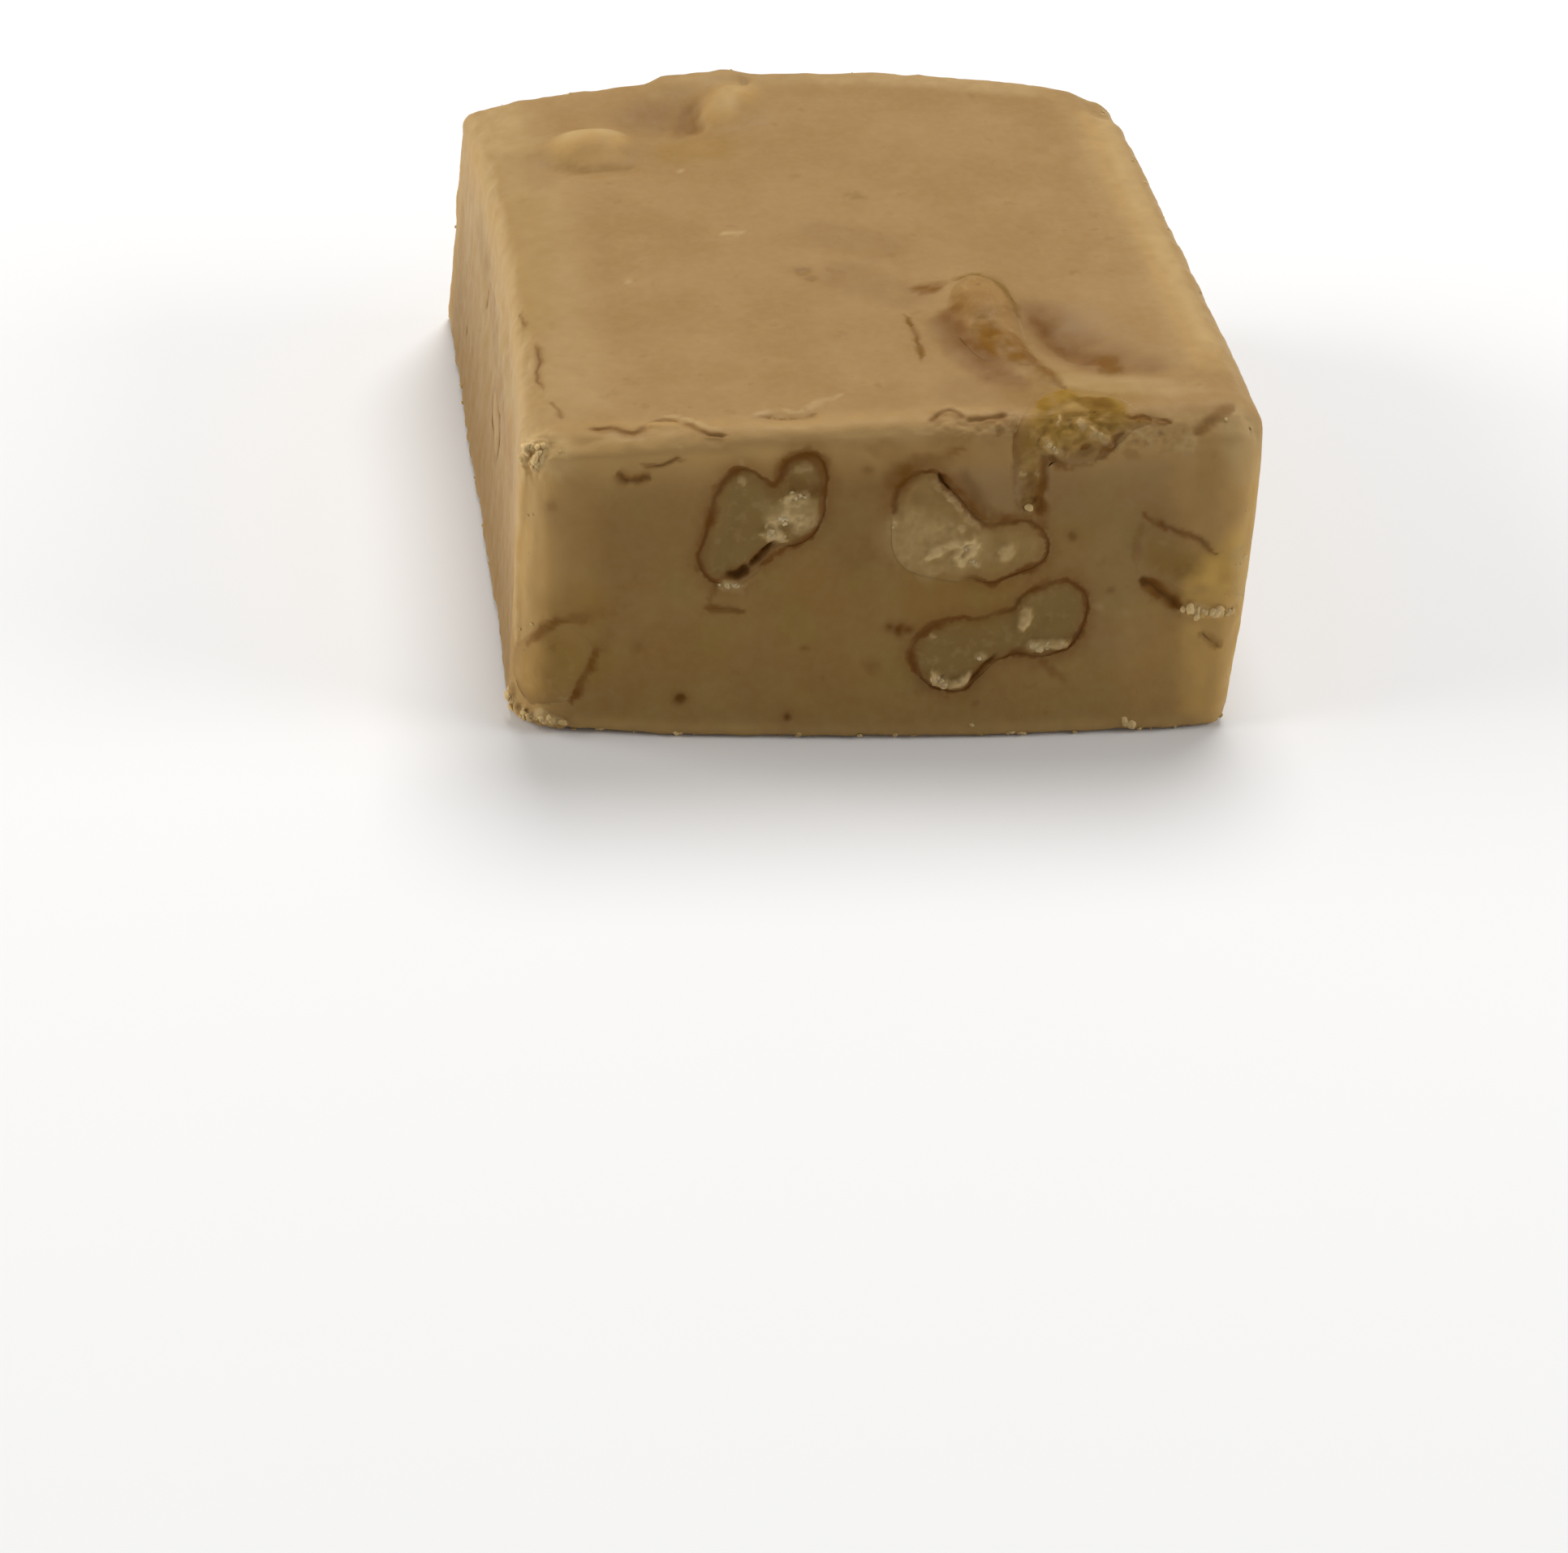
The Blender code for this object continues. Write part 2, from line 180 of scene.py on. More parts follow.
# The outline that each piece shows: its face and the points of the closed line.
OUTLINES = {
    "walnut_front_left": ("front", (
        (-8.7, 18.4), (-8.1, 18.2), (-7.3, 17.7), (-6.7, 17.2), (-6.3, 17.4), (-6.1, 18.4), (-5.7, 19.1),
        (-4.9, 19.3), (-4.1, 19.2), (-3.6, 18.6), (-3.4, 17.6), (-3.5, 16.5), (-3.4, 15.4), (-3.7, 14.6),
        (-4.0, 13.9), (-4.6, 13.4), (-5.4, 13.1), (-5.9, 12.7), (-6.6, 12.3), (-7.3, 11.7), (-8.0, 11.1),
        (-8.6, 10.7), (-9.3, 10.9), (-9.9, 10.6), (-10.4, 11.1), (-10.9, 11.8), (-11.1, 12.4),
        (-10.8, 13.2), (-10.5, 14.2), (-10.3, 15.5), (-10.2, 16.5), (-9.8, 17.3), (-9.4, 18.0),
    )),
    "walnut_front_centre": ("front", (
        (0.9, 14.3), (0.8, 15.2), (0.8, 16.2), (1.0, 17.0), (1.5, 17.6), (2.3, 18.0), (3.0, 18.0),
        (3.4, 17.8), (3.6, 17.2), (4.1, 16.7), (4.8, 16.1), (5.3, 15.4), (5.8, 14.8), (6.5, 14.3),
        (7.3, 14.4), (8.3, 14.6), (9.1, 14.6), (9.8, 14.2), (10.4, 13.5), (10.6, 12.6), (10.3, 11.9),
        (9.6, 11.4), (8.6, 11.1), (7.8, 10.7), (7.2, 10.4), (6.4, 10.6), (5.9, 11.0), (5.2, 10.8),
        (4.1, 10.9), (3.0, 11.2), (2.0, 11.5), (1.3, 12.1), (0.9, 13.2),
    )),
    "walnut_front_lower": ("front", (
        (2.4, 6.1), (2.4, 5.4), (2.8, 4.6), (3.4, 3.9), (4.0, 3.5), (5.1, 3.2), (6.0, 3.3), (6.5, 4.0),
        (7.1, 4.5), (7.6, 5.2), (8.4, 5.5), (9.2, 5.8), (10.0, 5.5), (10.7, 5.4), (11.5, 5.7), (12.3, 6.0),
        (12.8, 6.6), (13.1, 7.4), (13.3, 8.4), (13.3, 9.2), (13.0, 9.8), (12.4, 10.4), (11.7, 10.7),
        (10.9, 10.5), (10.1, 10.2), (9.4, 9.8), (8.9, 9.2), (8.7, 8.7), (8.0, 8.6), (7.2, 8.4), (6.2, 8.0),
        (5.2, 8.4), (4.2, 8.3), (3.4, 7.9), (2.8, 7.4), (2.5, 6.8),
    )),
    "walnut_front_right": ("front", (
        (16.2, 13.6), (16.6, 14.4), (17.1, 14.3), (18.0, 13.7), (18.7, 13.5), (19.5, 13.6), (20.1, 13.1),
        (20.9, 12.3), (22.0, 12.4), (23.2, 12.2), (25.2, 11.6), (25.2, 8.2), (23.0, 8.5), (21.6, 8.4),
        (20.4, 8.5), (19.4, 8.8), (18.5, 9.4), (17.5, 10.1), (16.7, 10.5), (16.0, 11.4), (15.8, 12.4),
    )),
    "walnut_front_corner": ("front", (
        (-21.7, 5.2), (-21.3, 6.0), (-20.9, 6.6), (-20.5, 7.3), (-19.8, 7.9), (-19.0, 8.2), (-18.2, 8.3),
        (-17.4, 8.3), (-16.6, 8.0), (-16.3, 7.4), (-16.8, 6.4), (-17.3, 5.7), (-17.7, 4.8), (-17.9, 3.8),
        (-18.1, 3.0), (-18.6, 2.2), (-19.4, 1.7), (-20.4, 1.6), (-21.3, 2.0), (-21.8, 2.8), (-21.9, 4.0),
    )),
    "walnut_top_edge": ("edge", (
        (8.2, -4.8), (8.0, -3.7), (7.9, -2.6), (8.0, -1.7), (8.5, -0.8), (9.2, 0.0), (10.0, 0.9),
        (11.0, 1.4), (12.0, 1.6), (12.4, 1.1), (13.4, 0.9), (14.2, 0.8), (14.9, 0.1), (15.4, -0.7),
        (16.2, -1.0), (16.3, -1.4), (15.5, -1.6), (14.8, -1.9), (14.3, -2.5), (13.6, -3.1), (13.1, -3.6),
        (12.2, -3.5), (11.4, -3.7), (10.3, -3.3), (9.9, -3.5), (10.0, -4.4), (9.9, -5.3), (9.7, -6.0),
        (8.9, -6.2), (8.4, -5.7),
    )),
    "walnut_top": ("top", (
        (6.4, -7.2), (7.3, -5.9), (8.2, -5.1), (9.0, -5.4), (9.6, -6.8), (10.1, -8.2), (10.2, -9.7),
        (10.0, -11.3), (10.2, -13.4), (10.4, -15.3), (10.0, -16.4), (9.2, -16.1), (8.4, -15.3),
        (7.5, -15.4), (6.9, -14.8), (6.5, -13.6), (6.1, -12.2), (5.9, -10.6), (6.0, -8.9),
    )),
    "walnut_right_upper": ("right", (
        (-7.9, 13.2), (-7.6, 14.6), (-6.6, 15.5), (-5.2, 15.4), (-4.2, 14.3), (-2.9, 14.1), (-1.6, 14.9),
        (-0.2, 15.0), (0.9, 15.6), (2.3, 15.3), (2.9, 14.2), (2.3, 12.9), (1.0, 12.3), (0.1, 11.2),
        (-1.4, 11.1), (-2.6, 10.8), (-4.1, 11.0), (-4.9, 11.9), (-6.3, 11.7), (-7.4, 12.1),
    )),
    "walnut_right_lower": ("right", (
        (8.4, 6.2), (8.7, 7.7), (9.8, 8.6), (11.2, 8.3), (12.3, 8.8), (13.6, 9.2), (14.8, 8.4),
        (15.1, 7.2), (14.2, 6.1), (12.8, 6.0), (12.1, 5.0), (10.7, 4.6), (9.3, 4.9),
    )),
    "walnut_back_left": ("back", (
        (-14.0, 9.2), (-13.8, 10.6), (-12.6, 11.6), (-11.2, 11.2), (-10.4, 10.0), (-9.2, 9.7),
        (-8.2, 10.3), (-6.9, 10.7), (-5.4, 10.1), (-4.9, 8.8), (-5.6, 7.4), (-7.0, 6.9), (-8.5, 7.2),
        (-9.8, 7.0), (-10.9, 7.9), (-12.3, 7.6), (-13.4, 8.1),
    )),
    "walnut_back_right": ("back", (
        (4.7, 13.6), (5.4, 14.9), (6.8, 15.2), (8.0, 14.3), (9.4, 13.9), (10.6, 12.9), (10.8, 11.4),
        (11.2, 9.9), (10.8, 8.4), (9.6, 8.0), (8.5, 8.8), (8.4, 10.2), (7.2, 11.0), (6.6, 11.8),
        (5.3, 12.0),
    )),
    "walnut_left_side": ("left", (
        (-6.1, 8.2), (-5.8, 9.4), (-4.8, 10.1), (-3.6, 10.1), (-2.6, 10.7), (-1.3, 10.5), (-0.8, 9.4),
        (-1.5, 8.2), (-2.8, 8.0), (-3.6, 7.3), (-4.9, 7.1),
    )),
}
SWELL = 0.9
SWELLS = {"walnut_front_right": 0.35}
BODY_CELL = 0.16
POCKET_CELL = 0.3
LOBE_CELL = 0.35
WALNUT_OFFSET = 0.14
POCKET_OFFSET = 0.06

# Each piece's meat colour, the relief of its cut, and how much of its brown skin line shows.
GREY_MEAT = (0.242, 0.150, 0.043)
FINISH = {
    "walnut_front_centre": {"meat": (0.335, 0.208, 0.068), "rough": 0.5},
    "walnut_front_right": {"meat": (0.272, 0.157, 0.038), "rough": 0.2, "skin": 0.0},
    "walnut_front_corner": {"meat": (0.335, 0.195, 0.050), "rough": 0.15, "skin": 0.0},
    "walnut_top_edge": {"meat": (0.355, 0.207, 0.048), "rough": 0.45, "skin": 0.0},
    "walnut_top": {"meat": (0.315, 0.172, 0.050), "rough": 0.15, "skin": 0.0},
    "walnut_left_side": {"meat": (0.370, 0.235, 0.085), "rough": 0.3, "skin": 0.25},
}
PLAIN_FINISH = {"meat": GREY_MEAT, "rough": 0.35}

# Lines that more than one of the tables below draws along.
CENTRE_FLAKE = ((3.0, 12.2), (3.8, 12.8), (4.5, 13.2), (5.1, 13.2), (5.6, 13.5))
CENTRE_FLAKE_END = ((5.6, 13.5), (5.9, 13.0), (5.7, 12.4), (5.2, 11.9), (4.8, 12.3))
CENTRE_RIDGE = ((3.1, 17.4), (3.9, 16.5), (4.6, 15.8), (5.2, 15.0), (5.9, 14.3))
CENTRE_CHIP = ((7.7, 12.2), (8.1, 12.9))
LOWER_LEFT_FLAKE = ((3.9, 4.5), (4.1, 4.0), (4.9, 3.8), (5.7, 3.8), (6.1, 4.4))
LOWER_RIGHT_FLAKE = ((9.8, 6.1), (10.4, 6.3), (11.2, 6.3), (12.1, 6.3))
LOWER_CHIP = ((9.3, 8.8), (9.5, 8.1), (9.3, 7.4))
FOOT_FLAKES = (
    (-21.9, 1.9), (-21.9, 1.1), (-21.6, 0.75), (-21.0, 0.75), (-20.3, 1.2), (-19.9, 1.0), (-19.1, 0.8),
)
CORNER_FLAKES = ((-21.4, -2.9), (-21.3, -2.2), (-20.5, -2.2), (-20.6, -2.7), (-20.9, -3.2))
LEFT_RIDGE = ((-21.4, 18.6), (-21.6, 14.2), (-21.8, 10.6), (-21.8, 5.6))
TOP_EDGE_CHIP = ((10.6, -0.9), (10.5, -1.6))
TOP_EDGE_CRUMB = ((11.8, -1.4), (12.1, -1.4))
TOP_EDGE_LEFT_RIDGE = ((9.7, -2.4), (10.2, -2.8), (10.9, -3.1))
TOP_EDGE_RIGHT_RIDGE = ((12.5, -1.8), (13.1, -2.2), (13.8, -2.6))
TOP_EDGE_DENT = ((12.1, -2.9), (12.5, -2.7))
TOP_EDGE_CRACK = ((14.5, -1.0), (15.1, -1.1), (15.9, -1.0), (16.6, -1.2), (17.5, -1.3))
LEG_GROOVE = ((7.9, -0.9), (7.9, -2.2), (8.0, -3.5), (8.1, -4.9))
RIGHT_GROOVE = ((19.0, -2.1), (19.7, -1.7), (20.2, -1.1), (20.8, -0.6), (21.4, -0.3))
LEFT_CRACK = ((-14.7, -3.4), (-14.2, -3.5), (-13.6, -3.4), (-12.9, -3.3), (-12.2, -3.0))

# Tints of the surface, on fudge and walnut alike: on each face, half width, strength, points.
STROKES = {
    # Broken pale meat and flakes.
    ("pale", "front"): (
        (0.7, 0.6, ((-6.3, 15.2), (-5.6, 15.6), (-4.6, 15.7))),
        (0.6, 0.5, ((-4.5, 16.0), (-4.5, 14.9), (-5.2, 14.2))),
        (0.36, 0.95, ((-7.0, 13.9), (-6.3, 13.9), (-5.8, 13.6))),
        (0.25, 0.9, ((-6.9, 14.5), (-6.2, 14.8), (-5.8, 15.4))),
        (0.22, 0.85, ((-6.0, 16.2), (-5.2, 16.4), (-4.4, 16.5))),
        (0.3, 0.35, ((-4.4, 18.6), (-5.3, 18.2))),
        (0.2, 0.4, ((-8.7, 17.8), (-8.4, 17.4))),
        (0.25, 0.7, ((-9.5, 10.5), (-8.9, 10.5), (-8.2, 10.6))),
        (0.22, 0.55, CENTRE_RIDGE),
        (0.28, 1.0, CENTRE_FLAKE),
        (0.28, 0.95, CENTRE_FLAKE_END),
        (1.5, 0.3, ((1.4, 13.8), (3.6, 13.2), (5.2, 12.6))),
        (0.35, 0.35, ((1.4, 12.4), (2.4, 11.7), (4.0, 11.4))),
        (0.2, 0.45, ((1.2, 14.2), (2.6, 14.0))),
        (0.25, 0.75, ((4.9, 14.3), (5.2, 14.0))),
        (0.22, 0.6, ((0.8, 14.6), (1.0, 14.4))),
        (0.25, 0.8, ((5.8, 12.0), (6.3, 11.6))),
        (0.36, 0.65, CENTRE_CHIP),
        (0.26, 1.0, LOWER_LEFT_FLAKE),
        (0.3, 0.9, LOWER_RIGHT_FLAKE),
        (0.26, 0.75, LOWER_CHIP),
        (0.22, 0.6, ((6.4, 5.4), (6.9, 5.6))),
        (0.2, 0.6, ((3.5, 7.0), (3.8, 7.0))),
        (0.28, 0.8, ((19.6, 8.55), (20.4, 8.3), (21.6, 8.2))),
        (0.16, 0.6, ((8.5, 17.8), (8.8, 17.5))),
        (0.16, 0.6, ((9.3, 17.9), (9.4, 17.6))),
        (0.3, 1.0, FOOT_FLAKES),
        (0.5, 0.75, ((-5.5, 15.4), (-5.0, 14.7))),
        (0.36, 0.8, ((4.9, 12.9), (5.3, 12.6))),
    ),
    ("pale", "edge"): (
        (0.14, 0.8, TOP_EDGE_CHIP),
        (1.2, 0.4, ((-20.6, -2.2), (-19.6, -3.2))),
        (0.34, 1.0, CORNER_FLAKES),
    ),
    ("pale", "top"): (
        (2.6, 0.13, ((20.9, 22.2), (21.0, 8.2), (21.3, -3.6), (21.6, -14.5))),
        (1.5, 0.2, ((3.0, 23.6), (10.0, 23.4), (18.0, 22.8))),
        (1.6, 0.2, ((-20.8, 21.4), (-20.6, 17.0))),
    ),
    # Light ridges, edges and specks; along the left and right edges and on the back-left lump, painted
    # highlights.
    ("light", "edge"): (
        (0.2, 0.6, TOP_EDGE_LEFT_RIDGE),
        (0.26, 0.65, TOP_EDGE_CRUMB),
        (0.2, 0.6, TOP_EDGE_RIGHT_RIDGE),
        (0.22, 0.5, ((-13.2, -0.25), (-11.8, -0.45), (-10.7, -1.1), (-9.7, -1.6))),
        (0.22, 0.5, (
            (-7.6, -0.2), (-6.6, -0.1), (-5.4, -0.1), (-4.8, -0.2), (-4.1, 0.3), (-3.0, 0.8), (-2.2, 1.1),
        )),
        (0.24, 0.4, ((3.2, -0.6), (4.1, -0.15), (4.9, -0.6), (6.2, -0.7), (7.4, -0.5))),
        (0.5, 0.4, ((-16.6, -1.8), (-14.6, -1.9))),
        (0.6, 0.25, ((12.6, 2.2), (16.0, 1.4), (20.0, 1.0))),
        # Painted light on the upper right edge.
        (1.6, 0.6, ((21.8, -1.4), (22.8, -3.4))),
    ),
    ("light", "front"): (
        # Painted light on the right edge.
        (0.8, 0.5, ((22.8, 11.8), (23.2, 9.0))),
        # Painted highlight along the left upright edge.
        (0.24, 0.75, LEFT_RIDGE),
        (0.2, 0.55, ((-12.3, 17.3), (-12.1, 17.3))),
        (0.26, 0.4, ((15.8, 8.2), (16.1, 8.2))),
        (0.28, 0.35, ((13.7, 8.9), (13.9, 8.9))),
        (0.2, 0.6, ((-8.7, 18.7), (-8.6, 18.6))),
        (0.14, 0.6, ((-19.2, 2.4), (-18.6, 2.5))),
        (0.3, 0.3, ((2.6, 11.0), (3.4, 10.8))),
    ),
    ("light", "top"): (
        (0.8, 0.4, ((21.6, 19.0), (21.4, 8.0), (21.6, -3.0), (21.8, -14.0))),
        (1.4, 0.3, ((-9.0, 22.4), (4.0, 24.0), (16.0, 22.8))),
        (1.0, 0.4, ((12.4, -17.9), (14.4, -18.6), (18.0, -19.2))),
        # Painted highlight on the back-left lump's upper slope.
        (0.9, 0.55, ((-16.2, 15.4), (-14.6, 16.2), (-13.4, 15.8))),
        (0.8, 0.4, ((-5.5, 18.6), (-4.8, 20.2), (-4.2, 21.2))),
        (0.28, 0.8, ((-6.9, 2.1), (-5.9, 2.0))),
        (0.2, 0.6, ((-13.9, -3.3), (-13.6, -3.3))),
        (0.26, 0.5, ((-9.1, 10.9), (-8.9, 10.9))),
        # Painted light along the top left edge.
        (3.4, 0.28, ((-21.0, 20.0), (-19.9, 9.0), (-19.7, -4.0), (-19.7, -18.0))),
    ),
    # Golden places; along the right edge, painted light.
    ("gold", "edge"): (
        (0.7, 0.3, ((10.6, -2.1), (12.0, -2.2))),
    ),
    ("gold", "front"): (
        (1.4, 0.9, ((21.4, 10.7), (23.4, 10.6))),
        (1.0, 0.65, ((20.0, 9.9), (23.2, 9.5))),
        (0.7, 0.5, ((19.6, 9.4), (21.0, 9.1), (22.9, 9.2))),
        # Painted light along the right edge.
        (0.5, 0.6, ((23.2, 18.0), (23.4, 13.0), (23.3, 8.0), (23.1, 2.0))),
        (1.3, 0.7, ((21.4, 10.2), (22.6, 12.4))),
        (1.6, 0.35, ((21.0, 7.2), (21.4, 2.4))),
    ),
    ("gold", "right"): (
        (1.5, 0.5, ((-21.6, 10.4), (-20.4, 10.2))),
    ),
    # Warm amber places; along the right edge and just below the top edge, painted light.
    ("amber", "front"): (
        (1.1, 0.45, ((-21.2, 3.6), (-20.8, 5.4))),
        # Painted light along the right edge.
        (1.8, 0.8, ((22.2, 18.0), (22.8, 14.0))),
        (2.4, 0.4, ((19.8, 17.0), (21.4, 13.6))),
        # Painted light along the lower right edge.
        (2.4, 0.75, ((21.8, 7.6), (22.4, 1.5))),
        (1.2, 0.5, ((-21.0, 17.6), (-21.2, 9.0))),
        (2.6, 0.25, ((-19.4, 17.0), (-19.6, 9.0))),
        (0.7, 0.5, ((-18.0, 0.5), (20.0, 0.5))),
        (2.6, 0.3, ((18.0, 7.0), (18.6, 1.5))),
        (2.4, 0.1, ((-14.5, 13.5), (-12.0, 15.5))),
        # Painted light along the right edge.
        (0.7, 1.0, ((23.0, 18.4), (23.3, 14.0), (23.2, 10.0), (23.2, 3.0))),
    ),
    ("amber", "edge"): (
        # Painted light just below the top edge, here and in the next two rows.
        (1.2, 0.35, ((-19.0, -1.4), (-2.0, -1.2), (6.0, -1.0))),
        (1.5, 0.6, ((-20.0, -3.2), (-13.5, -3.0))),
        (1.2, 0.35, ((-13.5, -2.7), (-10.0, -2.4))),
        (1.6, 0.5, ((18.6, -2.8), (21.4, -3.4))),
    ),
    ("amber", "top"): (
        (1.2, 0.5, ((20.6, 19.0), (21.0, 4.0), (21.2, -16.0))),
        (0.9, 0.55, ((-16.9, 13.9), (-15.5, 13.4), (-13.4, 13.4))),
        (1.4, 0.8, ((-16.2, 14.6), (-14.6, 15.2), (-13.6, 15.0))),
        (1.5, 0.6, ((-5.5, 18.2), (-4.6, 19.4), (-4.0, 20.8))),
        (0.9, 0.3, ((19.8, 14.6), (20.4, 4.0))),
    ),
    # Yellow places.
    ("yellow", "edge"): (
        (0.8, 1.0, ((10.1, -0.1), (10.8, 0.5), (11.6, 0.8))),
        (0.5, 0.8, ((14.0, 0.3), (14.4, -0.3), (14.4, -1.0))),
        (1.5, 0.4, ((9.2, 0.9), (12.0, 1.9), (14.8, 1.0))),
        (0.7, 0.7, ((9.8, -0.9), (10.6, -1.8))),
    ),
    ("yellow", "top"): (
        (1.3, 0.3, ((-19.6, 8.0), (-19.6, 2.3), (-19.8, -3.1), (-20.0, -8.2))),
        (1.6, 0.35, ((-9.0, 13.6), (-6.4, 14.2))),
    ),
    ("yellow", "front"): (
        (2.2, 0.32, ((3.4, 9.8), (6.6, 9.4))),
        (3.2, 0.15, ((-3.6, 10.0), (-2.0, 4.0))),
        (1.8, 0.5, ((-20.8, 9.6), (-18.2, 9.0))),
        (1.5, 0.4, ((-19.5, 8.4), (-17.2, 5.0))),
        (2.0, 0.15, ((-14.0, 4.6), (-10.0, 6.4))),
    ),
    # Olive places; under the back-left lump, painted shade.
    ("olive", "edge"): (
        (0.6, 1.0, ((12.3, 0.4), (12.9, -0.1), (13.6, 0.0), (12.9, -0.9))),
        (0.8, 0.6, ((10.2, -1.0), (13.8, -0.9))),
    ),
    ("olive", "front"): (
        (1.3, 0.35, ((16.9, 13.0), (18.6, 11.4))),
        (1.6, 0.25, ((11.0, 16.6), (12.6, 14.6))),
        (1.4, 0.3, ((-20.6, 9.4), (-20.2, 5.4))),
        (0.16, 0.7, ((-19.6, 6.3), (-19.6, 5.9))),
        (0.6, 0.9, ((9.3, 17.6), (9.2, 16.3), (8.8, 15.7))),
    ),
    ("olive", "top"): (
        (0.32, 0.85, (
            (7.2, -5.2), (7.9, -4.8), (8.6, -4.7), (9.3, -5.5), (9.7, -7.2), (10.1, -9.1), (10.2, -10.4),
        )),
        (0.25, 0.7, ((7.3, -11.2), (7.1, -12.6))),
        (0.25, 0.7, ((8.3, -11.7), (7.9, -13.0))),
        (0.17, 0.7, ((3.2, -9.2), (3.4, -10.6), (3.5, -12.3), (3.4, -14.6))),
        (0.45, 0.4, ((-1.8, 9.4), (-1.4, 9.4))),
        (0.5, 0.4, ((1.8, 6.9), (2.5, 6.5))),
        # Painted shade under the back-left lump.
        (0.4, 0.5, ((-17.5, 13.2), (-16.4, 12.3), (-14.9, 11.8), (-12.9, 11.9), (-12.4, 12.1))),
        (0.8, 0.9, ((15.1, -15.0), (14.9, -16.8))),
    ),
    # Orange stains.
    ("orange", "top"): (
        (0.5, 0.5, ((6.5, -8.0), (6.8, -8.8), (6.3, -9.7))),
        (1.1, 0.75, ((7.8, -12.4), (8.1, -13.9), (8.9, -15.4))),
        (0.7, 0.55, ((9.3, -13.2), (9.9, -15.4), (10.8, -17.4))),
        (0.9, 0.3, ((7.7, -8.8), (7.6, -10.8))),
    ),
    ("orange", "edge"): (
        (1.3, 0.35, ((-9.6, -2.8), (-4.6, -2.9))),
        (1.2, 0.4, ((3.5, -2.8), (8.0, -2.6))),
        (0.8, 0.35, ((11.0, -3.2), (13.5, -2.8))),
    ),
    ("orange", "front"): (
        (1.0, 0.3, ((16.8, 14.6), (18.6, 14.2))),
        (1.6, 0.2, ((-5.4, 18.6), (0.0, 18.2), (4.0, 17.0))),
    ),
    # Rosy light places.
    ("rosy", "front"): (
        (1.8, 0.5, ((5.6, 17.6), (7.6, 16.6))),
        (2.6, 0.3, ((11.5, 17.0), (15.0, 16.8), (18.0, 15.0))),
        (2.0, 0.25, ((15.0, 13.0), (15.2, 7.0))),
    ),
    ("rosy", "top"): (
        (1.4, 0.4, ((14.4, -9.6), (16.2, -12.4))),
        (1.6, 0.25, ((15.6, -13.6), (18.4, -15.4))),
    ),
    ("rosy", "edge"): (
        (1.2, 0.4, ((15.0, -2.9), (18.4, -3.1))),
    ),
    # Warm brownish fudge, and painted shade in the hollows round the top walnut and in the dip at the back.
    ("warm", "top"): (
        (1.8, 0.25, ((-0.5, 1.5), (2.5, 0.0))),
        (1.8, 0.25, ((5.4, -19.0), (9.4, -19.6))),
        # Painted shade in the hollow right of the top walnut, here and in the next row.
        (2.1, 0.7, ((12.0, -10.2), (13.6, -13.2), (14.8, -15.2))),
        (1.2, 0.6, ((12.4, -13.0), (14.8, -16.0), (17.2, -16.4))),
        # Painted shade below and left of the top walnut.
        (1.0, 0.75, ((5.4, -10.6), (6.0, -14.2), (7.4, -17.0), (8.6, -18.4))),
        # Painted shade in the dip at the back, here and in the next row.
        (2.2, 0.3, ((-10.9, 18.6), (-8.9, 20.2))),
        (1.0, 0.6, ((-8.2, 17.4), (-7.4, 19.4))),
        (1.2, 0.3, ((-18.4, 13.6), (-18.4, 11.0))),
        (1.8, 0.3, ((0.3, -4.0), (3.6, -6.6))),
    ),
    ("warm", "edge"): (
        (0.9, 0.3, ((3.4, -1.9), (7.2, -2.0))),
    ),
    ("warm", "front"): (
        (2.6, 0.25, ((-15.4, 13.4), (-13.4, 14.6))),
        (2.0, 0.3, ((-1.2, 18.0), (-1.6, 13.0))),
    ),
    ("warm", "left"): (
        (1.6, 0.25, ((12.0, 14.0), (4.0, 13.0), (-14.0, 12.0))),
    ),
    # Brown stains and walnut skin; beside the top walnut, painted shade.
    ("brown", "edge"): (
        (0.6, 0.3, ((12.4, 0.3), (13.6, -0.1))),
        (0.3, 0.3, ((15.4, -2.4), (16.0, -2.6))),
        (0.18, 0.35, LEG_GROOVE),
        (0.2, 0.45, LEFT_CRACK),
        (0.6, 0.3, ((-1.0, -2.6), (2.0, -3.3), (4.4, -3.1))),
        (0.42, 0.6, RIGHT_GROOVE),
        (0.24, 0.45, ((6.9, -1.6), (7.0, -2.0))),
        (0.28, 0.75, TOP_EDGE_DENT),
        (0.26, 0.8, ((13.2, -3.1), (13.9, -2.6), (14.5, -2.0))),
        (0.24, 0.8, ((10.0, -3.2), (10.6, -3.5), (11.2, -3.8))),
        (0.2, 0.6, ((11.2, -3.8), (12.0, -3.7), (12.7, -3.6), (13.5, -3.3))),
        (0.2, 0.35, ((11.6, -2.5), (12.2, -2.2))),
        (0.2, 0.75, TOP_EDGE_CRACK),
        (0.3, 0.4, ((14.8, -3.0), (15.5, -3.2))),
        (0.2, 0.5, ((16.7, -2.0), (17.0, -2.1))),
    ),
    ("brown", "front"): (
        (1.0, 0.3, ((0.9, 18.6), (4.6, 19.4))),
        (0.3, 0.75, (
            (-6.5, 17.4), (-6.3, 18.3), (-5.7, 19.1), (-4.8, 19.3), (-3.9, 18.9), (-3.55, 17.8),
            (-3.6, 16.4), (-3.6, 15.2),
        )),
        (0.24, 0.6, ((-9.5, 17.8), (-10.3, 16.3), (-10.5, 14.6), (-11.0, 12.8), (-10.9, 11.6))),
        (0.4, 0.65, ((0.8, 17.9), (1.7, 18.4), (2.7, 18.9), (3.4, 18.8), (4.2, 19.2), (4.8, 19.5))),
